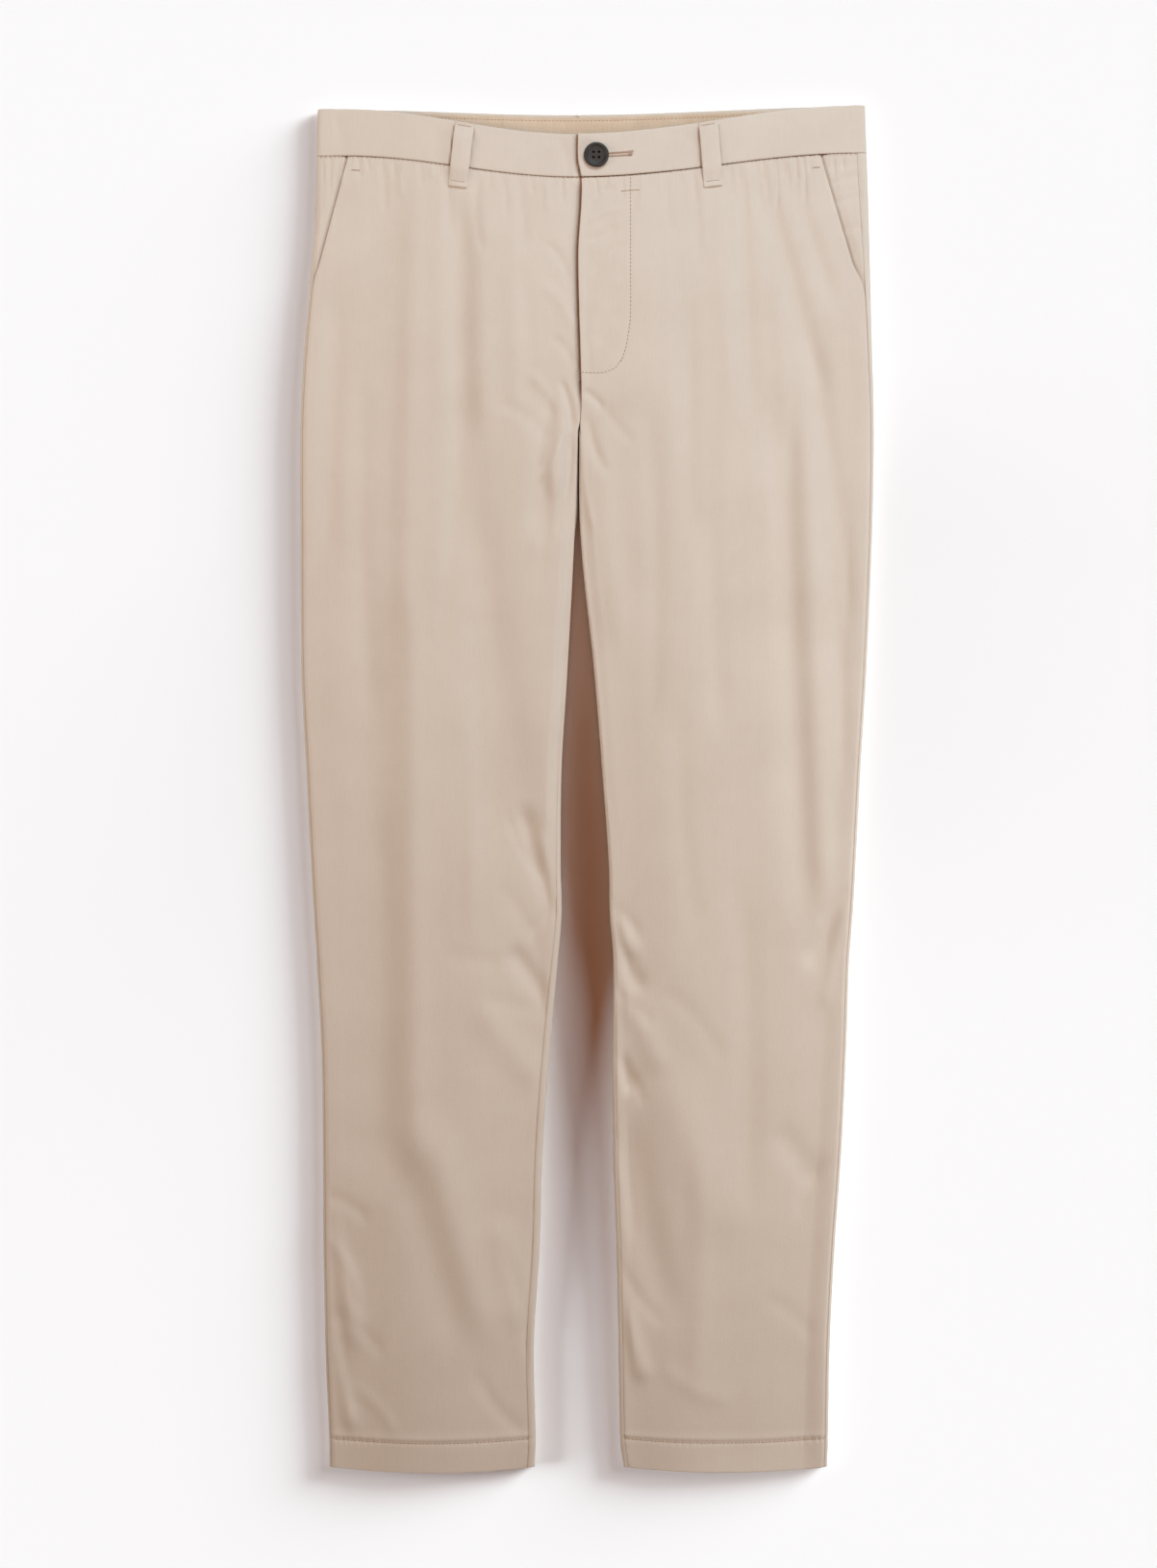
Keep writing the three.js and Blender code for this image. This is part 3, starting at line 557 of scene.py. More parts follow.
def lay_cloth(name, columns, rows, place, first_up=True, painted_seam_shade=None):
    """A grid laid on a surface. place takes column numbers and distances down, and gives x, y, z, u.
    first_up says whether the cloth's outside faces up at its first column, and the last argument
    gives how much painted shade each place takes in a seam, from 0 to 1."""
    bm = bmesh.new()
    bmesh.ops.create_grid(bm, x_segments=columns, y_segments=len(rows) - 1, size=0.5)
    mesh = bpy.data.meshes.new(name)
    bm.to_mesh(mesh)
    bm.free()
    grid = np.empty(len(mesh.vertices) * 3)
    mesh.vertices.foreach_get("co", grid)
    grid = grid.reshape(-1, 3)
    column = np.rint((grid[:, 0] + 0.5) * columns)
    down = rows[np.rint((0.5 - grid[:, 1]) * (len(rows) - 1)).astype(int)]
    x, y, z, u = place(column, down)
    mesh.vertices.foreach_set("co", (np.stack([x, y, z], axis=1) * MM).ravel())
    vertex_of = np.empty(len(mesh.loops), dtype=int)
    mesh.loops.foreach_get("vertex_index", vertex_of)
    flat = np.stack([u, -down], axis=1)[vertex_of] * MM
    mesh.uv_layers.new(name="cut").data.foreach_set("uv", flat.ravel())
    # painted shade for the seams, kept on each point for the cloth's colour to read
    if painted_seam_shade is not None:
        depth = mesh.attributes.new("painted_seam_shade", "FLOAT", "POINT")
        depth.data.foreach_set("value", clamp(painted_seam_shade(x, down)) + np.zeros(len(column)))
    mesh.update()
    if (mesh.polygons[0].normal.z > 0) != first_up:
        mesh.flip_normals()
    mesh.shade_smooth()
    piece = bpy.data.objects.new(name, mesh)
    bpy.context.scene.collection.objects.link(piece)
    return piece


def give_wall(piece, wall, rim, thinner=None):
    """Solidify inwards, then round the rims. thinner is the share of the wall at each point."""
    solid = piece.modifiers.new("wall", "SOLIDIFY")
    solid.thickness = wall * MM
    solid.offset = -1
    if thinner is not None:
        group = piece.vertex_groups.new(name="wall")
        for share in np.unique(thinner):
            group.add(np.flatnonzero(thinner == share).tolist(), float(share), "REPLACE")
        solid.vertex_group = "wall"
    edge = piece.modifiers.new("rim", "BEVEL")
    edge.width = rim * MM
    edge.segments = 2
    edge.limit_method = "ANGLE"
    edge.angle_limit = math.radians(60)


def finish_cloth(piece, node, material):
    """What every piece of cloth needs: its finish and its place in the model, with its solid hidden."""
    piece.data.materials.append(material)
    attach(piece, "root")
    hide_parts(node)
    depsgraph = bpy.context.evaluated_depsgraph_get()
    faces = piece.evaluated_get(depsgraph).to_mesh().loop_triangles
    print(piece.name, len(faces), "triangles")


print("cloth tools ready")


# %% [markdown]
# ## Cotton twill
# Chino cloth is a cotton twill: the warp floats over two or more wefts, one step further on each
# row, which makes fine diagonal lines. It is woven, dyed in the piece and pressed, so it is matt
# with a faint sheen, and a little uneven in colour where the yarn is thicker. The real twill lines
# are about 0.5 mm apart, too fine for a whole pair of trousers in one picture, so they are drawn
# 1.3 mm apart and shallow, with a coarser grain and slubs over them. Faint streaks run down the leg,
# as the dye does along the warp. Deep in a seam light goes from thread to thread and turns warm, and
# this shade is painted in: the cloth takes a brown tone where the seam shade kept on each point
# is high.

# %% Colours and nodes
def colour(code):
    """An sRGB hex colour as the linear colour that Blender wants."""
    parts = [int(code[i:i + 2], 16) / 255 for i in (1, 3, 5)]
    linear = [p / 12.92 if p <= 0.04045 else ((p + 0.055) / 1.055) ** 2.4 for p in parts]
    return (*linear, 1.0)


def add_node(material, kind, settings=None, **links):
    """Adds a node, sets its values and links its inputs, which are named with _ for a space."""
    node = material.node_tree.nodes.new(kind)
    for key, value in (settings or {}).items():
        if isinstance(key, str) and hasattr(node, key):
            setattr(node, key, value)
        else:
            node.inputs[key].default_value = value
    for key, source in links.items():
        target = node.inputs[int(key[1:])] if key[1:].isdigit() else node.inputs[key.replace("_", " ")]
        material.node_tree.links.new(source, target)
    return node


def new_material(name):
    """An empty node material with only its output."""
    material = bpy.data.materials.new(name)
    material.use_nodes = True
    material.node_tree.nodes.clear()
    return material


print("white is", colour("#ffffff"))

# %% Pressed cotton twill
TWILL_PITCH = 1.3
GRAIN = 2.2
SLUB = (1.6, 14)
CLOUD = 60
STREAK = (7, 160)
# painted shade: the warm brown that the cloth takes deepest in a seam
SEAM_SHADE_TONE = "#8c5c3a"
WAVE_TURNS = 2 * math.pi / 20


def cotton_twill(name, body, shade, weft, grain_depth=0.12, rough=0.25):
    """Twill in one dye: body is its main colour, shade its thicker places, weft its lines."""
    material = new_material(name)
    cut = add_node(material, "ShaderNodeUVMap", {"uv_map": "cut"}).outputs["UV"]
    turned = add_node(material, "ShaderNodeMapping", {"Rotation": (0, 0, math.radians(28))}, Vector=cut)
    lines = add_node(
        material, "ShaderNodeTexWave",
        {"wave_type": "BANDS", "Scale": WAVE_TURNS / (TWILL_PITCH * MM), "Distortion": 1.2, "Detail": 1,
         "Detail Scale": 2.0}, Vector=turned.outputs[0],
    ).outputs[1]
    grain = add_node(
        material, "ShaderNodeTexNoise", {"Scale": 1 / (GRAIN * MM), "Detail": 3}, Vector=cut,
    ).outputs[0]
    along = add_node(
        material, "ShaderNodeMapping", {"Scale": (1 / (SLUB[0] * MM), 1 / (SLUB[1] * MM), 1)}, Vector=cut,
    ).outputs[0]
    slubs = add_node(material, "ShaderNodeTexNoise", {"Scale": 1, "Detail": 2}, Vector=along).outputs[0]
    cloud = add_node(
        material, "ShaderNodeTexNoise", {"Scale": 1 / (CLOUD * MM), "Detail": 4, "Roughness": 0.6},
        Vector=cut,
    ).outputs[0]
    down_the_leg = add_node(
        material, "ShaderNodeMapping",
        {"Scale": (1 / (STREAK[0] * MM), 1 / (STREAK[1] * MM), 1)}, Vector=cut,
    ).outputs[0]
    streaks = add_node(
        material, "ShaderNodeTexNoise", {"Scale": 1, "Detail": 3}, Vector=down_the_leg,
    ).outputs[0]
    uneven = add_node(
        material, "ShaderNodeMath", {"operation": "MULTIPLY_ADD", 1: 0.22}, _0=streaks, _2=cloud,
    ).outputs[0]
    patches = add_node(
        material, "ShaderNodeMapRange", {"From Min": 0.44, "From Max": 0.8, "To Max": 0.7}, Value=uneven,
    ).outputs[0]
    dyed = add_node(
        material, "ShaderNodeMix", {"data_type": "RGBA", "blend_type": "MIX", "clamp_factor": True},
        _0=patches,
    )
    dyed.inputs[6].default_value = colour(body)
    dyed.inputs[7].default_value = colour(shade)
    yarn = add_node(
        material, "ShaderNodeMapRange", {"From Min": 0.3, "From Max": 0.75, "To Max": 0.28}, Value=slubs,
    ).outputs[0]
    woven = add_node(
        material, "ShaderNodeMix", {"data_type": "RGBA", "blend_type": "MIX"}, _0=yarn, _6=dyed.outputs[2],
    )
    woven.inputs[7].default_value = colour(weft)
    # Painted shade: the colour turns warm brown where the seam shade kept on each point is high
    folded = add_node(material, "ShaderNodeAttribute", {"attribute_name": "painted_seam_shade"}).outputs["Fac"]
    deep = add_node(
        material, "ShaderNodeMix", {"data_type": "RGBA", "blend_type": "MIX", "clamp_factor": True},
        _0=folded, _6=woven.outputs[2],
    )
    deep.inputs[7].default_value = colour(SEAM_SHADE_TONE)
    fine = add_node(
        material, "ShaderNodeMath", {"operation": "MULTIPLY_ADD", 1: grain_depth}, _0=lines, _2=grain,
    ).outputs[0]
    both = add_node(material, "ShaderNodeMath", {"operation": "MULTIPLY_ADD", 1: 0.6}, _0=slubs, _2=fine)
    bump = add_node(
        material, "ShaderNodeBump", {"Strength": rough, "Distance": 0.0004}, Height=both.outputs[0],
    )
    surface = add_node(
        material, "ShaderNodeBsdfPrincipled",
        {"Roughness": 0.82, "Specular IOR Level": 0.32, "Sheen Weight": 0.12, "Sheen Roughness": 0.55},
        Base_Color=deep.outputs[2], Normal=bump.outputs[0],
    )
    add_node(material, "ShaderNodeOutputMaterial", Surface=surface.outputs[0])
    return material


SHELL = cotton_twill("pressed_cotton_twill", "#dccfc1", "#d5c7b8", "#e1d5c9")
FACING = cotton_twill("brushed_cotton_facing", "#e0cab2", "#d0b597", "#ead8c4", 0.3, 0.9)
print("cloths:", SHELL.name, FACING.name)


# %% [markdown]
# ## Leg panels
# A trouser leg is a front and a back panel sewn at the side and at the inseam. The back panel is
# the wider one: lying on the table, it comes round both folds and meets the front on top. The hem
# is turned up and sewn down, so the wall is thicker there and a line of stitches dents the front.

# %% Hem, seam and stitch dents
STITCH_DENT = 0.3
SEAM_ROLL = 0.3
LAP_CURL = 0.9
LAP_TROUGH = 3.6
FLY_STITCH = table_of("down shift", [
    (37.5, 40.2),
    (100, 40.2),
    (151, 40.3),
    (163, 39.9),
    (184, 36.9),
    (195, 33.5),
    (202, 28.6),
    (205.4, 22),
    (206.3, 16.6),
    (206, 8),
    (205.6, 0.5),
])
CURVE_START = 195


def dent(distance, half_width=1.6):
    """A shallow groove along a line of stitches."""
    return np.exp(-((distance / half_width) ** 2))


def edge_roll(distance):
    """The cloth turns down over the last two millimetres before a seam."""
    return SEAM_ROLL * (1 - ease(0, 2.2, distance))


def inseam_roll(down):
    """The inseam is pressed flat down the thigh, so its edges hardly turn down there."""
    return 1 - 0.85 * ease(FORK_FRONT, 380, down) * (1 - 0.6 * ease(620, 760, down))


def puckers(along, distance, pitch, depth, reach):
    """Small uneven dips along a seam, where each stitch draws the cloth in."""
    phase = 2 * np.pi * along / pitch + 1.7 * np.sin(0.13 * along) + 0.9 * np.sin(0.41 * along + 1)
    strength = 0.6 + 0.4 * np.sin(0.071 * along + 2)
    return depth * strength * (0.5 + 0.5 * np.sin(phase)) * np.exp(-((distance / reach) ** 2))


def fly_stitch_x(down):
    """The line of the J-shaped stitching, right of the fly edge."""
    return CENTRE_X + np.interp(down, FLY_STITCH["down"], FLY_STITCH["shift"])


def panel_height(side, x, down):
    """The front panel's surface, with its lap, rolled edges and stitched lines."""
    height = front_height(side, x, down)
    outer = np.abs(pocket_edge(side, down) - x)
    inner = np.abs(inner_edge(side, down) - x)
    on_fly = ease(BAND_HEIGHT, BAND_HEIGHT + 14, down) * (1 - ease(FLY_END - 6, FLY_END + 26, down))
    if side == "left":
        curl = LAP_CURL * (1 - ease(0, 8, inner)) * on_fly
        height = height + lap_height(x, down, PANEL_LIFT) + curl
        past = np.abs(x - fly_stitch_x(down))
        height = height - STITCH_DENT * dent(past) * (down < CURVE_START)
        across = x - CENTRE_X
        base = np.interp(across, FLY_STITCH["shift"][:4:-1], FLY_STITCH["down"][:4:-1])
        height = height - STITCH_DENT * dent(down - base) * (across < FLY_STITCH["shift"][5])
    else:
        beside = x - CENTRE_X - read_table(FLY_EDGE, "shift", down) + 0.9
        height = height - LAP_TROUGH * dent(beside, 1.9) * on_fly - 0.7 * dent(beside + 3, 5) * on_fly
    below_band = down - BAND_HEIGHT
    height = height - edge_roll(outer) - edge_roll(inner) * inseam_roll(down)
    height = height - 1.3 * edge_roll(below_band)
    height = height - puckers(x, below_band, 5.4, 0.5, 5)
    to_hem = down - OUTSEAM + HEM_DEPTH
    height = height - 1.1 * STITCH_DENT * dent(to_hem, 1.1) - puckers(x, to_hem, 4.8, 0.42, 3)
    inseam = puckers(down, inner, 5.6, 0.45, 3.2) * ease(400, 620, down)
    return height + 0.45 * dent(to_hem + 3.4, 2.2) - inseam


print("J-stitch", round(float(fly_stitch_x(100.0) - CENTRE_X)), "mm from the fly edge")

# %% Painted shade in the seams
def waist_seam_shade(x, down):
    """Painted shade along the waist seam: darker between its stitches than at them."""
    uneven = 0.62 + 0.38 * np.sin(2 * np.pi * x / 3.2 + 1.3 * np.sin(0.2 * x))
    return uneven * (1 - ease(0.2, 1.3, np.abs(down - BAND_HEIGHT)))


def beside_fly(x, down):
    """The strip of the right side that the fly edge shades."""
    edge = CENTRE_X + read_table(FLY_EDGE, "shift", down)
    return 0.95 * dent(x - edge + 0.6, 1.1) * (1 - ease(FLY_END + 4, FLY_END + 34, down))


def front_panel_shade(side, x, down):
    """Painted shade on a front panel in the seams round it, and on the right beside the fly edge."""
    inner = np.abs(x - inner_edge(side, down))
    seams = 0.6 * waist_seam_shade(x, down) + 0.3 * dent(inner, 0.8) * ease(620, 760, down)
    seams = seams + 0.5 * dent(x - pocket_edge(side, down), 0.7) * ease(POCKET_END, MOUTH_SHUT, down)
    return seams + (beside_fly(x, down) if side == "right" else 0)


print("fly shade", round(float(beside_fly(np.array(-7.7), np.array(100.0))), 2))

# %% Front panels
PANEL_ROWS = rows_between(
    (BAND_HEIGHT + SEAM_SHUT, 110, 1.9), (110, 340, 2.9), (340, 1010, 4.6), (1010, 1038, 3),
    (1038, 1048, 1.1), (1048, OUTSEAM - 3, 3), (OUTSEAM - 3, OUTSEAM, 1),
)
FRONT_COLUMNS = 156
EDGE_CROWDING = 0.45


def front_share(column):
    """Narrow cells along both seams and round the fly, wider ones between."""
    t = column / FRONT_COLUMNS
    return t - EDGE_CROWDING * np.sin(2 * np.pi * t) / (2 * np.pi)


def front_panel(side):
    """One front panel of the legs."""

    def place(column, down):
        x = mix(inner_edge(side, down), pocket_edge(side, down), front_share(column))
        return x, lengthwise(x, down, 1), panel_height(side, x, down), x

    # painted shade in this panel's seams
    def depth(x, down):
        return front_panel_shade(side, x, down)

    return lay_cloth("front_" + side + "_cloth", FRONT_COLUMNS, PANEL_ROWS, place, painted_seam_shade=depth)


def wall_shares(piece):
    """The hem's share of the wall is 1, and the rest of the leg's is less."""
    flat = np.empty(len(piece.data.loops) * 2)
    piece.data.uv_layers["cut"].data.foreach_get("uv", flat)
    vertex_of = np.empty(len(piece.data.loops), dtype=int)
    piece.data.loops.foreach_get("vertex_index", vertex_of)
    down = np.empty(len(piece.data.vertices))
    down[vertex_of] = -flat[1::2] / MM
    return np.where(down > OUTSEAM - HEM_DEPTH - 0.5, 1.0, round(WALL / HEM_WALL, 3))


for side in ("right", "left"):
    panel = front_panel(side)
    give_wall(panel, HEM_WALL, 0.4, wall_shares(panel))
    finish_cloth(
        panel, "front_" + side, SHELL,
    )

# %% [markdown]
# ## Back panels
# Most of a back panel lies flat on the table. Its section is a line along the surface that turns up
# round each fold and comes in over the top to the seam. The underside is seen when the model is
# turned, so it keeps the same shallow creases as the front, lifted a little off the table.

# %% Section of a back panel
SEAT_COLUMNS = 20
FLAT_COLUMNS = 44
SIDE_COLUMNS = 22
BACK_CREASES = [
    (-60, 90, -66, 420, 16, 0.8, 4),
    (-130, 120, -128, 640, 22, 0.9, -4),
    (-170, 300, -160, 540, 16, 0.6, 3),
    (-40, 260, -70, 330, 12, 0.7, 3),
    (-28, 330, -60, 430, 12, 0.6, -3),
    (-60, 620, -110, 650, 12, 0.7, 3),
    (-70, 660, -120, 720, 14, 0.6, -3),
    (-110, 780, -130, 990, 20, 0.6, 4),
    (50, 90, 58, 400, 16, 0.8, -4),
    (120, 130, 126, 600, 22, 0.9, 4),
    (170, 320, 160, 520, 16, 0.6, -3),
    (24, 262, 60, 340, 12, 0.7, -3),
    (34, 350, 70, 470, 14, 0.6, 3),
    (60, 610, 116, 646, 12, 0.7, -3),
    (54, 660, 104, 720, 14, 0.6, 3),
    (104, 790, 120, 1000, 20, 0.6, -4),
]


def turned_edge(part, floor_x, top_x, lift, height, radius, seam_inset, inward, flat, climb_share):
    """A run of cloth along the surface, round a corner, up, round again and in over the top."""
    quarter = 0.5 * np.pi * radius
    rise = height - lift - 2 * radius
    turned = radius * np.arccos(1 - np.minimum(seam_inset, radius) / radius)
    over = np.where(seam_inset < radius, turned, quarter + seam_inset - radius)
    climb = climb_share * (quarter + rise + over)
    first = np.minimum(climb / radius, 0.5 * np.pi)
    start = floor_x + inward * radius * np.sin(first)
    risen = part * (flat + climb) - flat
    low = clamp(risen / quarter) * 0.5 * np.pi
    high = clamp((risen - quarter - rise) / quarter) * 0.5 * np.pi
    wall_z = lift + radius + risen - quarter
    wall_x = mix(floor_x, top_x, (wall_z - lift) / (height - lift))
    past = [risen <= 0, risen <= quarter, risen <= quarter + rise, risen <= 2 * quarter + rise]
    x = np.select(past, [
        start - inward * risen,
        start - inward * radius * np.sin(low),
        wall_x,
        top_x + inward * radius * (1 - np.cos(high)),
    ], top_x + inward * (radius + risen - 2 * quarter - rise))
    z = np.select(past, [
        lift + 0 * risen,
        lift + radius * (1 - np.cos(low)),
        wall_z,
        height - radius * (1 - np.sin(high)),
    ], np.nan)
    on_front = np.select(past, [0 * risen, 0 * risen, 0 * risen + 0.5, 0 * risen + 1], 1.0)
    return x, z, on_front


def back_section(side, column, down):
    """Places across a back panel, from its inner seam, over the surface, to the side seam."""
    section = leg(side, down)
    outward = OUTWARD[side]
    corner = read_table(SEAMS, "corner", down)
    top = section["inner"] + outward * corner * section["parted"]
    creases = CREASE_DEPTH * crease_height(CREASES, top, down)
    inner_top = one_side_height(side, top, np.asarray(down)) - creases
    seat_part = 1 - clamp(column / SEAT_COLUMNS)
    climbing = mix(0.55 * ease(216, FORK_FRONT, down), 1, section["parted"])
    seat = turned_edge(
        seat_part, section["floor_inner"], section["inner"], section["lift"], inner_top,
        np.minimum(corner, (inner_top - section["lift"]) / 2),
        inset(side + "_inseam", down) - SEAM_SHUT / 2, outward, 10, climbing,
    )
    side_part = clamp((column - SEAT_COLUMNS - FLAT_COLUMNS) / SIDE_COLUMNS)
    turn = turned_edge(
        side_part, section["outer"], section["outer"], section["lift"], section["side_height"],
        section["side_radius"], inset(side + "_side", down) - SEAM_SHUT / 2, -outward, 0.5, 1,
    )
    flat_x = mix(seat[0], turn[0], clamp((column - SEAT_COLUMNS) / FLAT_COLUMNS))
    where = [column <= SEAT_COLUMNS, column < SEAT_COLUMNS + FLAT_COLUMNS]
    x = np.select(where, [seat[0], flat_x], turn[0])
    z = np.select(where, [seat[1], section["lift"]], turn[1])
    on_front = np.select(where, [seat[2], 0], turn[2])
    return x, z, on_front


print("back panel is", SEAT_COLUMNS + FLAT_COLUMNS + SIDE_COLUMNS, "cells across")

# %% Back panels
BACK_ROWS = rows_between(
    (BAND_HEIGHT + SEAM_SHUT, 110, 3.2), (110, 350, 4), (350, 1010, 5), (1010, 1038, 4),
    (1038, 1048, 1.4), (1048, OUTSEAM - 3, 3), (OUTSEAM - 3, OUTSEAM, 1),
)


def back_panel(side):
    """One back panel of the legs."""

    def place(column, down):
        x, z, on_front = back_section(side, column, down)
        z = np.where(np.isnan(z), one_side_height(side, x, down), z)
        height = leg(side, down)
        resting = ease(6, 16, np.abs(x - height["outer"])) * ease(6, 16, np.abs(x - height["inner"]))
        z = z + crease_height(BACK_CREASES, x, down) * resting * (on_front == 0)
        last = SEAT_COLUMNS + FLAT_COLUMNS + SIDE_COLUMNS
        seam = side_seam(side, down) + OUTWARD[side] * SEAM_SHUT / 2
        z = z - edge_roll(np.abs(x - seam)) * (column > SEAT_COLUMNS + FLAT_COLUMNS)
        inseam = height["inner"] + OUTWARD[side] * (inset(side + "_inseam", down) - SEAM_SHUT / 2)
        rolled = (column < SEAT_COLUMNS / 2) & (on_front == 1)
        z = z - edge_roll(np.abs(x - inseam)) * rolled * height["parted"] * inseam_roll(down)
        up = np.where(on_front > 0.4, -1, 1)
        z = z + up * STITCH_DENT * dent(down - OUTSEAM + HEM_DEPTH, 1.8)
        return x, lengthwise(x, down, on_front), np.maximum(z, 0), x + 30 * column / last

    columns = SEAT_COLUMNS + FLAT_COLUMNS + SIDE_COLUMNS
    return lay_cloth("back_" + side + "_cloth", columns, BACK_ROWS, place)


for side in ("right", "left"):
    panel = back_panel(side)
    give_wall(panel, HEM_WALL, 0.4, wall_shares(panel))
    finish_cloth(panel, "back_" + side, SHELL)

# %% [markdown]
# ## Waistband
# The band is cloth folded over a stiff tape, so it is thicker and flatter than the legs. Each half
# runs from the centre back, round the side fold, to the centre front, and the wearer's right half
# goes on under the left one to carry the button.

# %% Two halves of the waistband
BAND_ROWS = rows_between((0, 3, 1), (3, BAND_HEIGHT - 3, 2.1), (BAND_HEIGHT - 3, BAND_HEIGHT, 1))
FRONT_LOOPS = {"right": (-95.3, -100.9), "left": (94.1, 98.3)}
BAND_BACK = 40
BAND_TURN = 18
BAND_FRONT = 150
BAND_CREASES = [
    (-200, 4, -190, 30, 9, -0.4, 1),
    (-186, 34, -170, 10, 9, 0.3, 2),
    (-150, 2, -154, 22, 12, -0.3, 0),
    (-116, 36, -112, 12, 12, -0.4, 1),
    (-84, 3, -80, 34, 10, 0.3, 1),
    (-44, 34, -30, 16, 10, -0.3, 2),
    (-22, 5, -14, 32, 7, -0.5, 1),
    (24, 30, 46, 14, 8, -0.4, 1),
    (40, 34, 64, 24, 8, 0.3, 1),
    (62, 5, 84, 16, 9, -0.4, 2),
    (112, 28, 136, 22, 8, -0.4, 2),
    (118, 8, 150, 14, 9, 0.3, 2),
    (150, 34, 160, 8, 10, -0.4, 1),
    (178, 4, 184, 32, 9, -0.4, 1),
    (200, 6, 196, 34, 8, 0.3, 0),
]


def band_top(side, x, down, proud=BAND_PROUD):
    """Height of the front band's outer surface."""
    height = front_height(side, x, down) + proud + crease_height(BAND_CREASES, x, down)
    height = height - 0.3 * (1 - ease(0, 1.6, BAND_HEIGHT - down)) - 0.4 * (1 - ease(0, 1.6, down))
    if side == "left":
        return height + lap_height(x, down, BAND_LIFT) + 0.5 * (1 - ease(0, 7, x - CENTRE_X))
    return height - 2.6 * dent(x - CENTRE_X - read_table(FLY_EDGE, "shift", down) + 0.9, 1.9)


def waistband(side):
    """One half of the band."""
    columns = BAND_BACK + BAND_TURN + BAND_FRONT

    def place(column, down):
        section = leg(side, down)
        outward = OUTWARD[side]
        turn_part = clamp((column - BAND_BACK) / BAND_TURN)
        turn = turned_edge(
            turn_part, section["outer"], section["outer"], section["lift"], section["side_height"],
            section["side_radius"], 14, -outward, 0.5, 1,
        )
        seat = CENTRE_X + outward * SEAM_GAP / 2
        back_x = mix(seat, turn[0], clamp(column / BAND_BACK))
        centre = CENTRE_X + (BAND_UNDERLAP if side == "right" else read_table(FLY_EDGE, "shift", down))
        turn_end = section["outer"] - outward * 14
        front_x = mix(turn_end, centre, clamp((column - BAND_BACK - BAND_TURN) / BAND_FRONT))
        where = [column <= BAND_BACK, column < BAND_BACK + BAND_TURN]
        x = np.select(where, [back_x, turn[0]], front_x)
        proud = BAND_PROUD * ease(0, 28, np.abs(front_x - turn_end))
        over = np.where(np.isnan(turn[1]), one_side_height(side, turn[0], down), turn[1])
        z = np.select(where, [section["lift"], over], band_top(side, front_x, down, proud))
        on_front = np.select(where, [0, turn[2]], 1)
        run = np.select(where, [0 * x, 12.0 * turn_part], 12.0)
        return x, lengthwise(x, down, on_front), z, x + run

    # painted shade: along the waist seam, painted shadows beside the front loops, and the fly edge
    def depth(x, down):
        shade = 0.45 * waist_seam_shade(x, down)
        for top, bottom in FRONT_LOOPS.values():
            middle = mix(top, bottom, down / LOOP_END)
            beside = 0.8 * dent(x - middle + LOOP_WIDTH / 2 + 0.5, 0.8)
            shade = shade + (beside + 0.4 * dent(x - middle - LOOP_WIDTH / 2 - 0.3, 0.7)) * ease(3, 6, down)
        return shade + (beside_fly(x, down) if side == "right" else 0)

    return lay_cloth(
        "waistband_" + side + "_cloth", columns, BAND_ROWS, place, first_up=False, painted_seam_shade=depth,
    )


for side, rests in (("right", ["waistband_facing_cloth"]), ("left", ["waistband_right_cloth"])):
    band = waistband(side)
    give_wall(band, BAND_WALL, 0.7)
    finish_cloth(band, "waistband_" + side, SHELL)

# %% [markdown]
# ## Inside of the back band
# Above the front band the inside of the back one shows. It is a strip of softer, more yellow cloth,
# sewn along its top edge, so it lies a hair below the top of the band.

# %% Waistband facing
FACING_X = (-198, 204)
FACING_WALL = 1
FACING_TOP = BACK_LOOP_REST + BAND_WALL + SEAM_GAP + FACING_WALL
FACING_START = 2.4
FACING_STITCH = 5
FACING_ROWS = rows_between((FACING_START, 8, 0.8), (8, BAND_HEIGHT, 2.3))
FACING_CREASES = [
    (-92, 2, -84, 30, 14, 0.3, 2),
    (-50, 34, -30, 8, 12, -0.3, 2),
    (30, 4, 44, 34, 12, 0.3, -2),
    (80, 30, 96, 4, 14, -0.3, 2),
]


def facing_height(x, down):
    """Height of the facing, dented along its row of stitches."""
    dip = STITCH_DENT * dent(down - FACING_STITCH, 1.2)
    return FACING_TOP - dip + crease_height(FACING_CREASES, x, down)


def facing_place(column, down):
    x = mix(FACING_X[0], FACING_X[1], column / 130)
    return x, lengthwise(x, down, 0), facing_height(x, down), x


inside = lay_cloth("waistband_facing_cloth", 130, FACING_ROWS, facing_place)
give_wall(inside, FACING_WALL, 0.3)
finish_cloth(
    inside, "waistband_facing", FACING,
)

# %% [markdown]
# ## Pocket mouths and the fly shield
# In each slanted mouth shows a piece of the same twill, sewn to the pocket behind it. The front is
# folded under along the mouth, and stands a little proud of it. Behind the fly edge lies a shield,
# which keeps the fly from gaping.

# %% Pocket facings
POCKET_ROWS = rows_between((BAND_HEIGHT + SEAM_SHUT, MOUTH_SHUT, 2.2))
POCKET_COLUMNS = 64
POCKET_DROP = 1.5
MOUTH_GROOVE = 1.2


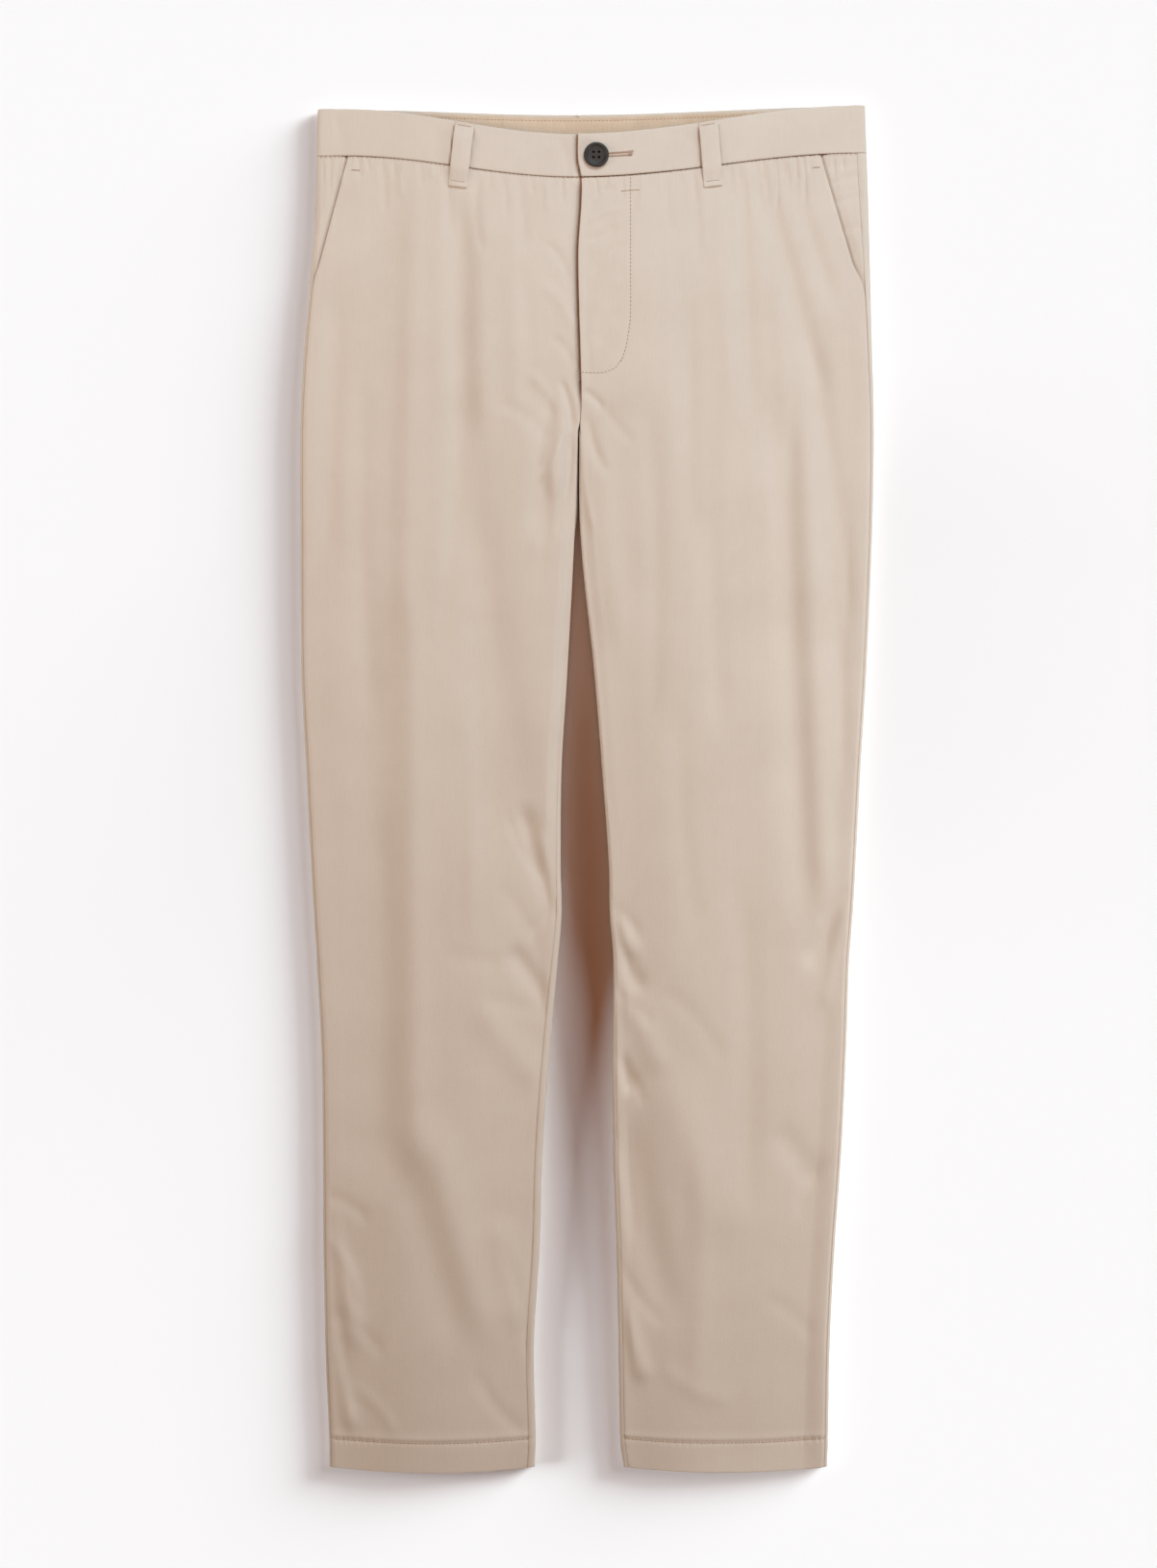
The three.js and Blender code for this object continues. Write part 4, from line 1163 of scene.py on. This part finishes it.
def pocket_facing(side):
    """The cloth that shows in a pocket mouth."""

    def place(column, down):
        mouth = pocket_edge(side, down)
        seam = side_seam(side, down) - OUTWARD[side] * SEAM_SHUT / 2
        x = mix(mouth - OUTWARD[side] * 16, seam, column / POCKET_COLUMNS)
        past = OUTWARD[side] * (x - mouth)
        z = front_height(side, x, down) - POCKET_DROP * (1 - ease(0, 9, past))
        z = z - MOUTH_GROOVE * dent(past - 0.4, 1.2) * (1 - ease(MOUTH_SHUT - 26, MOUTH_SHUT - 6, down))
        z = z - edge_roll(np.abs(x - seam)) - edge_roll(down - BAND_HEIGHT - SEAM_SHUT)
        return x, lengthwise(x, down, 1), z, x

    # painted shade in the pocket mouth under the front's edge, and along the waist seam
    def depth(x, down):
        past = OUTWARD[side] * (x - pocket_edge(side, down))
        open_part = 1 - ease(MOUTH_SHUT - 26, MOUTH_SHUT - 6, down)
        return 0.55 * dent(past - 0.3, 0.6) * open_part + 0.6 * waist_seam_shade(x, down)

    return lay_cloth(
        "pocket_facing_" + side + "_cloth", POCKET_COLUMNS, POCKET_ROWS, place, painted_seam_shade=depth,
    )


for side in ("right", "left"):
    mouth = pocket_facing(side)
    give_wall(mouth, WALL, 0.3)
    finish_cloth(
        mouth, "pocket_facing_" + side, SHELL,
    )

# %% Fly shield
SHIELD_WIDTH = 38
SHIELD_END = 196
SHIELD_CORNER = 44
SHIELD_ROWS = rows_between((BAND_HEIGHT + SEAM_SHUT, 150, 4), (150, SHIELD_END, 2.6))


def shield_place(column, down):
    share = clamp((down - SHIELD_END + SHIELD_CORNER) / SHIELD_CORNER)
    width = PANEL_UNDERLAP + (SHIELD_WIDTH - PANEL_UNDERLAP) * np.sqrt(1 - share * share)
    x = mix(CENTRE_X + 3.5, CENTRE_X + width, column / 18)
    return x, lengthwise(x, down, 1), front_height("left", x, down) - PANEL_LIFT, x


shield = lay_cloth("fly_shield_cloth", 18, SHIELD_ROWS, shield_place)
give_wall(shield, WALL, 0.3)
finish_cloth(shield, "fly_shield", SHELL)

# %% [markdown]
# ## Belt loops
# A belt loop is a narrow strip folded in three. It is sewn down at the top of the band and a little
# below it, and stands off the band between, so that a belt passes. The three back ones lie between
# the band and the table.

# %% Belt loops
LOOP_ROWS = rows_between((0.6, 4, 0.8), (4, LOOP_END - 4, 1.7), (LOOP_END - 4, LOOP_END, 0.8))
LOOP_COLUMNS = 20
LOOP_TACK = 4.5
BACK_LOOPS = {"right": -128, "centre": CENTRE_X, "left": 115}


def loop_height(side, x, down, across):
    """A front loop's surface: proud of the band, rounded at its folded edges, dented at its ends."""
    proud = BAND_PROUD * (1 - ease(BAND_HEIGHT + 1, BAND_HEIGHT + 10, down))
    raised = 1.7 * ease(3, 14, down) * (1 - ease(38, 52, down))
    rounded = 0.5 * np.abs(across) ** 6 - 0.3 * (1 - np.abs(across)) ** 2
    tacked = 0.5 * dent(down - 3.4, 1) + 0.5 * dent(down - LOOP_END + LOOP_TACK, 1)
    return one_side_height(side, x, down) + proud + raised + SEAM_GAP + LOOP_WALL - rounded - tacked


def front_loop(side):
    """One belt loop on the front."""
    top, bottom = FRONT_LOOPS[side]

    def place(column, down):
        across = 2 * column / LOOP_COLUMNS - 1
        x = mix(top, bottom, down / LOOP_END) + across * LOOP_WIDTH / 2
        return x, lengthwise(x, down, 1), loop_height(side, x, down, across), x

    return lay_cloth("belt_loop_front_" + side + "_cloth", LOOP_COLUMNS, LOOP_ROWS, place)


def back_loop(name):
    """One belt loop pressed between the band and the table."""

    def place(column, down):
        x = BACK_LOOPS[name] + (column / LOOP_COLUMNS - 0.5) * LOOP_WIDTH
        return x, lengthwise(x, down, 0), 0.1 * dent(down - 3.4, 1) + 0 * x, x

    return lay_cloth("belt_loop_back_" + name + "_cloth", LOOP_COLUMNS, LOOP_ROWS, place, first_up=False)


loops = [(front_loop(side), "belt_loop_front_" + side) for side in FRONT_LOOPS]
loops += [(back_loop(name), "belt_loop_back_" + name) for name in BACK_LOOPS]
for loop, node in loops:
    give_wall(loop, LOOP_WALL, 0.45)
    finish_cloth(loop, node, SHELL)

# %% [markdown]
# ## Button
# The button is moulded in dark resin: a disc with a raised rim, a dished face and four holes. Its
# section is spun round its middle, and the four holes are cut with a Boolean, since they go right
# through. The thread that holds it fills them from behind, in a near-black that also paints the
# shade deep in the holes. The resin has a soft satin gloss.

# %% Moulded resin
def moulded_resin(name):
    """Dark grey resin with a faint grain and a satin face."""
    material = new_material(name)
    place = add_node(material, "ShaderNodeTexCoord").outputs["Object"]
    grain = add_node(
        material, "ShaderNodeTexNoise", {"Scale": 700, "Detail": 5, "Roughness": 0.65}, Vector=place,
    ).outputs[0]
    tone = add_node(material, "ShaderNodeMix", {"data_type": "RGBA"}, _0=grain)
    tone.inputs[6].default_value = colour("#231f1c")
    tone.inputs[7].default_value = colour("#3a332e")
    bump = add_node(material, "ShaderNodeBump", {"Strength": 0.15, "Distance": 0.0002}, Height=grain)
    surface = add_node(
        material, "ShaderNodeBsdfPrincipled", {"Roughness": 0.5, "IOR": 1.45},
        Base_Color=tone.outputs[2], Normal=bump.outputs[0],
    )
    add_node(material, "ShaderNodeOutputMaterial", Surface=surface.outputs[0])
    return material


RESIN = moulded_resin("dark_moulded_resin")
print("button finish:", RESIN.name)

# %% Four-hole button
BUTTON = {"x": 7.1, "down": 40.5, "radius": 9.75, "hole": 1.1, "offset": 2.1}
BUTTON_SECTION = [
    (0, 2.15), (3.6, 2.15), (5.6, 2.2), (6.7, 2.35), (7.3, 2.7), (7.7, 3.05), (8.2, 3.2), (8.8, 3.15),
    (9.3, 2.85), (9.65, 2.3), (9.75, 1.6), (9.6, 0.9), (9.1, 0.3), (8.4, 0), (0, 0),
]


def moulded_button():
    """The button's section spun round its middle, in millimetres, with its holes cut through."""
    bm = bmesh.new()
    points = [bm.verts.new((radius, 0, z)) for radius, z in BUTTON_SECTION]
    edges = [bm.edges.new(pair) for pair in zip(points, points[1:])]
    bmesh.ops.spin(
        bm, geom=points + edges, cent=(0, 0, 0), axis=(0, 0, 1), angle=2 * math.pi, steps=64,
        use_merge=True,
    )
    bmesh.ops.remove_doubles(bm, verts=bm.verts, dist=0.001)
    bmesh.ops.recalc_face_normals(bm, faces=bm.faces)
    mesh = bpy.data.meshes.new("waist_button_disc")
    bm.to_mesh(mesh)
    bm.free()
    drill = bmesh.new()
    for sign_x in (-1, 1):
        for sign_y in (-1, 1):
            spot = Matrix.Translation((sign_x * BUTTON["offset"], sign_y * BUTTON["offset"], 2))
            bmesh.ops.create_cone(
                drill, cap_ends=True, segments=20, radius1=BUTTON["hole"], radius2=BUTTON["hole"],
                depth=8, matrix=spot,
            )
    drill_mesh = bpy.data.meshes.new("button_drill")
    drill.to_mesh(drill_mesh)
    drill.free()
    disc = bpy.data.objects.new("button_disc", mesh)
    cutter = bpy.data.objects.new("button_drill", drill_mesh)
    for thing in (disc, cutter):
        bpy.context.scene.collection.objects.link(thing)
    cut = disc.modifiers.new("holes", "BOOLEAN")
    cut.object = cutter
    cut.solver = "EXACT"
    depsgraph = bpy.context.evaluated_depsgraph_get()
    result = bpy.data.meshes.new_from_object(disc.evaluated_get(depsgraph))
    for thing in (disc, cutter):
        bpy.data.objects.remove(thing)
    return result


button_mesh = moulded_button()
button_low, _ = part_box("waist_button")
button_place = Matrix.Translation((BUTTON["x"] * MM, (OUTSEAM / 2 - BUTTON["down"]) * MM, button_low[2]))
button_mesh.transform(button_place @ Matrix.Scale(MM, 4))
button_mesh.shade_smooth()
button_mesh.set_sharp_from_angle(angle=math.radians(50))
button_mesh.materials.append(RESIN)
button = bpy.data.objects.new("waist_button_moulded", button_mesh)
bpy.context.scene.collection.objects.link(button)
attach(button, "root")
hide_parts("waist_button")
print("button has", len(button_mesh.polygons), "faces")

# %% [markdown]
# ## Sewing
# A lockstitch shows on the outside as a row of short, slightly sunk threads. Each one here is a
# small six-sided bead stretched along its row and set half into the cloth, and all the beads of one
# row are a single mesh. Garment thread is about 0.3 mm thick; it is drawn a little thicker so that
# it can be seen. The stitches lie on the same surface functions as the cloth.

# %% Sewing thread
def sewing_thread(name, body):
    """Spun polyester thread: a little shinier than the cloth, in nearly its colour."""
    material = new_material(name)
    place = add_node(material, "ShaderNodeTexCoord").outputs["Object"]
    ply = add_node(
        material, "ShaderNodeTexWave", {"wave_type": "BANDS", "bands_direction": "DIAGONAL", "Scale": 900},
        Vector=place,
    ).outputs[1]
    tone = add_node(material, "ShaderNodeMix", {"data_type": "RGBA"}, _0=ply)
    tone.inputs[6].default_value = colour(body)
    tone.inputs[7].default_value = tuple(0.8 * v for v in colour(body)[:3]) + (1,)
    surface = add_node(
        material, "ShaderNodeBsdfPrincipled", {"Roughness": 0.6, "Sheen Weight": 0.1},
        Base_Color=tone.outputs[2],
    )
    add_node(material, "ShaderNodeOutputMaterial", Surface=surface.outputs[0])
    return material


THREAD = sewing_thread("matching_polyester_thread", "#b6967b")
TAN_THREAD = sewing_thread("tan_buttonhole_thread", "#c4a189")
# near-black thread: it holds the button, and its tone also paints the shade deep in the holes
HOLE_SHADE_THREAD = sewing_thread("button_thread_and_hole_shade", "#15110f")
print("threads:", THREAD.name, TAN_THREAD.name, HOLE_SHADE_THREAD.name)

# %% Rows of stitches
PITCH = 3
STITCH = 2.3
THREAD_RADIUS = 0.3


def bead(bm, start, end, radius):
    """One stitch between two points in millimetres."""
    start, end = Vector(start), Vector(end)
    run = end - start
    turn = run.to_track_quat("Z", "Y").to_matrix().to_4x4()
    size = Matrix.Diagonal((radius, radius, run.length / 2, 1))
    place = Matrix.Scale(MM, 4) @ Matrix.Translation((start + end) / 2) @ turn @ size
    bmesh.ops.create_icosphere(bm, subdivisions=1, radius=1, matrix=place)


def sew(bm, path, pitch=PITCH, length=STITCH, radius=THREAD_RADIUS):
    """Stitches along a path of points in millimetres."""
    path = np.asarray(path, dtype=float)
    steps = np.linalg.norm(np.diff(path, axis=0), axis=1)
    run = np.append(0, np.cumsum(steps))
    for start in np.arange(0.3, run[-1] - length, pitch):
        ends = [[np.interp(at, run, path[:, k]) for k in range(3)] for at in (start, start + length)]
        bead(bm, *ends, radius)


def sewing_piece(name, bm, material):
    """One mesh of stitches, which moves with the trousers."""
    mesh = bpy.data.meshes.new(name)
    bm.to_mesh(mesh)
    bm.free()
    mesh.shade_smooth()
    mesh.materials.append(material)
    piece = bpy.data.objects.new(name, mesh)
    bpy.context.scene.collection.objects.link(piece)
    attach(piece, "root")
    print(name, len(mesh.polygons), "faces")


def on_panel(side, x, down, above=0.12):
    """Points on a front panel, as rows of x, y, z."""
    x, down = np.broadcast_arrays(np.asarray(x, dtype=float), np.asarray(down, dtype=float))
    z = panel_height(side, x, down) + above
    return np.stack([x, lengthwise(x, down, 1), z], axis=1)


def on_back(side, x, down, below=0.12):
    """Points on the underside of a back panel."""
    x, down = np.broadcast_arrays(np.asarray(x, dtype=float), np.asarray(down, dtype=float))
    z = STITCH_DENT * dent(down - OUTSEAM + HEM_DEPTH, 1.8) - below
    return np.stack([x, lengthwise(x, down, 0), np.maximum(z, 0.1)], axis=1)


print("stitches", STITCH, "mm long,", PITCH, "mm apart")

# %% Fly, pockets and hems
fly = bmesh.new()
straight = np.linspace(BAND_HEIGHT + 1.5, CURVE_START, 90)
sew(fly, on_panel("left", fly_stitch_x(straight), straight))
curve_x = np.linspace(fly_stitch_x(CURVE_START), CENTRE_X + 1.5, 30)
curve_down = np.interp(curve_x - CENTRE_X, FLY_STITCH["shift"][:3:-1], FLY_STITCH["down"][:3:-1])
sew(fly, on_panel("left", curve_x, curve_down))
sew(fly, on_panel("left", np.linspace(25.9, 41.6, 8), 51), 1.1, 1.5)
sewing_piece("fly_stitches", fly, THREAD)

tacks = bmesh.new()
sew(tacks, on_panel("right", np.linspace(-184.2, -176.4, 6), 48.5), 0.9, 1.4, 0.38)
sew(tacks, on_panel("left", np.linspace(175.6, 182.2, 6), 47.5), 0.9, 1.4, 0.38)
sewing_piece("pocket_tacks", tacks, THREAD)

hems = bmesh.new()
hem_line = OUTSEAM - HEM_DEPTH
for side in ("right", "left"):
    section = leg(side, float(hem_line))
    outward = OUTWARD[side]
    inner = float(section["inner"]) + outward * 2.5
    outer = float(section["outer"]) - outward * 2.5
    sew(hems, on_panel(side, np.linspace(inner, outer, 120), hem_line))
    sew(hems, on_back(side, np.linspace(inner + outward * 5, outer - outward * 5, 100), hem_line))
sewing_piece("hem_stitches", hems, THREAD)

# %% Facing and belt loops
facing_row = bmesh.new()
row_x = np.linspace(FACING_X[0] + 2, FACING_X[1] - 2, 300)
row_z = facing_height(row_x, FACING_STITCH) + 0.12
sew(facing_row, np.stack([row_x, lengthwise(row_x, FACING_STITCH, 0), row_z], axis=1))
sewing_piece("facing_stitches", facing_row, TAN_THREAD)

loop_tacks = bmesh.new()
for side, (top, bottom) in FRONT_LOOPS.items():
    for down in (3.4, LOOP_END - LOOP_TACK):
        across = np.linspace(-0.8, 0.8, 9)
        x = mix(top, bottom, down / LOOP_END) + across * LOOP_WIDTH / 2
        z = loop_height(side, x, down, across) + 0.12
        sew(loop_tacks, np.stack([x, lengthwise(x, down, 1), z], axis=1), 1.2, 1.5)
sewing_piece("loop_tacks", loop_tacks, THREAD)

# %% [markdown]
# ## Buttonhole
# The hole is cut along the band and bound with close threads across its two lips, in a tan thread
# that is redder than the cloth. The outer end is closed with a bar.

# %% Buttonhole
HOLE_X = (16, 33)
HOLE_DOWN = 19.4
LIP = 1.15


def on_band(x, down, above=0.15):
    """A point on the front of the left band."""
    z = float(band_top("left", np.array([x]), np.array([down]))[0]) + above
    return x, float(lengthwise(np.array([x]), np.array([down]), 1)[0]), z


hole = bmesh.new()
for x in np.arange(HOLE_X[0], HOLE_X[1], 0.62):
    for sign in (-1, 1):
        tilt = 0.18 * math.sin(5 * x + sign)
        bead(hole, on_band(x + tilt, HOLE_DOWN + sign * 0.25), on_band(x, HOLE_DOWN + sign * 2 * LIP), 0.36)
for shift in np.arange(-0.6, 1.9, 0.6):
    bead(
        hole, on_band(HOLE_X[1] + shift, HOLE_DOWN - 2.6, 0.3),
        on_band(HOLE_X[1] + shift - 0.25, HOLE_DOWN + 2.7, 0.3), 0.4,
    )
for shift, lean in ((0.4, 1.5), (1.3, 0.6), (1.9, -0.9), (1.5, -1.9)):
    end = on_band(HOLE_X[1] + 1.6 + shift, HOLE_DOWN + 1.5 * lean, 0.3)
    bead(hole, on_band(HOLE_X[1] + shift, HOLE_DOWN + 0.8 * lean, 0.35), end, 0.24)
sewing_piece("buttonhole_stitches", hole, TAN_THREAD)

# beads of near-black thread fill the four holes, holding the button and painting their shade
button_thread = bmesh.new()
for sign_x in (-1, 1):
    for sign_y in (-1, 1):
        spot = (
            BUTTON["x"] + sign_x * BUTTON["offset"],
            OUTSEAM / 2 - BUTTON["down"] + sign_y * BUTTON["offset"],
        )
        bottom = button_low[2] / MM
        bead(button_thread, (*spot, bottom - 0.4), (*spot, bottom + 1.1), 1.15)
sewing_piece("button_thread", button_thread, HOLE_SHADE_THREAD)

# %% [markdown]
# ## Table and light
# The table is matt white. The picture has a broad soft light, low on the right and a little towards
# the waist: it lays a wide faint shadow to the left of the cloth and between the legs, and models
# the creases. The cloth has its own area lights, a window on the same side, a softbox past the waist
# whose light falls off down the legs, a pale wall on the left and a warm ceiling. The table is lit by
# suns that light nothing else, and two flags keep them out of the gap, which is warm and dark near
# the crotch and opens towards the hems.

# %% Table
def painted_table(name):
    """Matt white paint on board, with a faint unevenness."""
    material = new_material(name)
    place = add_node(material, "ShaderNodeTexCoord").outputs["Object"]
    uneven = add_node(material, "ShaderNodeTexNoise", {"Scale": 60, "Detail": 4}, Vector=place).outputs[0]
    bump = add_node(material, "ShaderNodeBump", {"Strength": 0.02, "Distance": 0.0005}, Height=uneven)
    surface = add_node(
        material, "ShaderNodeBsdfPrincipled",
        {"Base Color": colour("#f4f2f2"), "Roughness": 0.9, "Specular IOR Level": 0.1},
        Normal=bump.outputs[0],
    )
    add_node(material, "ShaderNodeOutputMaterial", Surface=surface.outputs[0])
    return material


floor_mesh = bpy.data.meshes.new("table_top")
floor_bm = bmesh.new()
bmesh.ops.create_grid(floor_bm, x_segments=1, y_segments=1, size=6)
floor_bm.to_mesh(floor_mesh)
floor_bm.free()
floor_mesh.materials.append(painted_table("matt_white_paint"))
floor = bpy.data.objects.new("table_top", floor_mesh)
bpy.context.scene.collection.objects.link(floor)
print("table", 12, "m wide")

# %% Lights
def light(name, kind, energy, tint, place, aim=(0, 0, 0), **settings):
    """One lamp, aimed at a point."""
    data = bpy.data.lights.new(name, kind)
    data.energy = energy
    data.color = colour(tint)[:3]
    for key, value in settings.items():
        setattr(data, key, value)
    lamp = bpy.data.objects.new(name, data)
    lamp.location = place
    lamp.rotation_euler = (Vector(aim) - Vector(place)).to_track_quat("-Z", "Y").to_euler()
    bpy.context.scene.collection.objects.link(lamp)
    return lamp


def only_lights(lamp, name, things, shaded_by=()):
    """Limits a lamp to some things, and its shadows to those of the things that shade it."""
    receivers = bpy.data.collections.new(name)
    for thing in things:
        receivers.objects.link(thing)
    lamp.light_linking.receiver_collection = receivers
    if shaded_by:
        blockers = bpy.data.collections.new(name + "_shade")
        for thing in shaded_by:
            blockers.objects.link(thing)
        lamp.light_linking.blocker_collection = blockers


cloth_pieces = [thing for thing in bpy.context.scene.objects if thing.type == "MESH" and thing is not floor]
right_leg = [thing for thing in cloth_pieces if thing.name in ("front_right_cloth", "back_right_cloth")]
window = light(
    "window_side", "AREA", 5.8, "#f3faff", (1.0, -0.15, 0.5), (0.05, -0.1, 0), shape="RECTANGLE",
    size=0.6, size_y=0.5,
)
only_lights(window, "lit_by_window", cloth_pieces, cloth_pieces)
head = light(
    "head_softbox", "AREA", 13.6, "#e1f3ff", (0.3, 1.3, 1.0), (0, 0.4, 0), shape="RECTANGLE",
    size=0.9, size_y=0.6,
)
only_lights(head, "lit_by_head", cloth_pieces, cloth_pieces)
wall = light(
    "wall_bounce", "AREA", 4.6, "#fff0e6", (-1.1, 0.35, 0.6), (-0.05, 0.1, 0), shape="RECTANGLE",
    size=0.8, size_y=0.6,
)
only_lights(wall, "lit_by_wall", cloth_pieces, cloth_pieces)
ceiling = light(
    "warm_ceiling", "AREA", 21.2, "#ffe0cb", (0, -0.1, 2.2), (0, -0.1001, 0), shape="RECTANGLE",
    size=2.4, size_y=2.4,
)
only_lights(ceiling, "lit_by_ceiling", cloth_pieces, cloth_pieces)

# %% Flags over the gap between the legs
FLAG_HEIGHTS = table_of("down right left", [
    (262, 44, 44),
    (520, 38, 38),
    (600, 26, 26),
    (668, 12, 14),
    (743, 6.5, 8),
    (818, 4, 5),
    (893, 2.5, 3.5),
    (968, 1, 2),
    (1056, 0, 0),
])
FLAG_ROWS = rows_between((262, 1056, 16))


def flag(side):
    """A strip of card along one inseam that keeps the table's light out of the gap."""

    def place(column, down):
        x = leg(side, down)["inner"] + OUTWARD[side] * 3
        base = front_height(side, x, down)
        return x, lengthwise(x, down, 1), base + column * read_table(FLAG_HEIGHTS, side, down), x

    card = lay_cloth("gap_flag_" + side, 1, FLAG_ROWS, place)
    card.visible_camera = False
    card.visible_diffuse = False
    card.visible_glossy = False
    card.visible_transmission = False
    return card


flags = {side: flag(side) for side in ("right", "left")}
print(len(flags), "flags")

# %% Light on the table, and the room
floor_low = light("table_low", "SUN", 8.1, "#effbff", (2.0, 1.155, 0.407), angle=math.radians(32))
only_lights(floor_low, "table_by_low", [floor], cloth_pieces + [flags["left"]])
floor_high = light("table_high", "SUN", 1.1, "#effbff", (2.0, 1.155, 1.557), angle=math.radians(30))
only_lights(floor_high, "table_by_high", [floor], cloth_pieces + [flags["left"]])
floor_fill = light("table_fill", "SUN", 4.85, "#effbff", (-2.0, 0, 0.536), angle=math.radians(28))
only_lights(floor_fill, "table_by_fill", [floor], right_leg + [flags["right"]])
glow = light("table_glow", "SUN", 0.38, "#ff8a50", (0, 0, 2), angle=math.radians(90))
only_lights(glow, "table_by_glow", [floor], cloth_pieces)

world = bpy.data.worlds.new("dim_warm_room")
world.use_nodes = True
background = world.node_tree.nodes["Background"]
background.inputs["Color"].default_value = colour("#ffd3a0")
background.inputs["Strength"].default_value = 0.035
bpy.context.scene.world = world
bpy.context.scene.view_settings.view_transform = "Standard"

# %% Pale room round the table
def pale_wall(name):
    """A wall that glows by itself and lights nothing."""
    material = new_material(name)
    glowing = add_node(material, "ShaderNodeEmission", {"Color": colour("#f4f2f0"), "Strength": 1.0})
    add_node(material, "ShaderNodeOutputMaterial", Surface=glowing.outputs[0])
    material.cycles.emission_sampling = "NONE"
    return material


room_bm = bmesh.new()
bmesh.ops.create_uvsphere(room_bm, u_segments=48, v_segments=24, radius=5.8)
room_mesh = bpy.data.meshes.new("pale_room")
room_bm.to_mesh(room_mesh)
room_bm.free()
room_mesh.materials.append(pale_wall("pale_wall"))
room = bpy.data.objects.new("pale_room", room_mesh)
bpy.context.scene.collection.objects.link(room)
room.visible_diffuse = False
room.visible_glossy = False
room.visible_transmission = False
room.visible_shadow = False
print("room", 5.8, "m round the table")
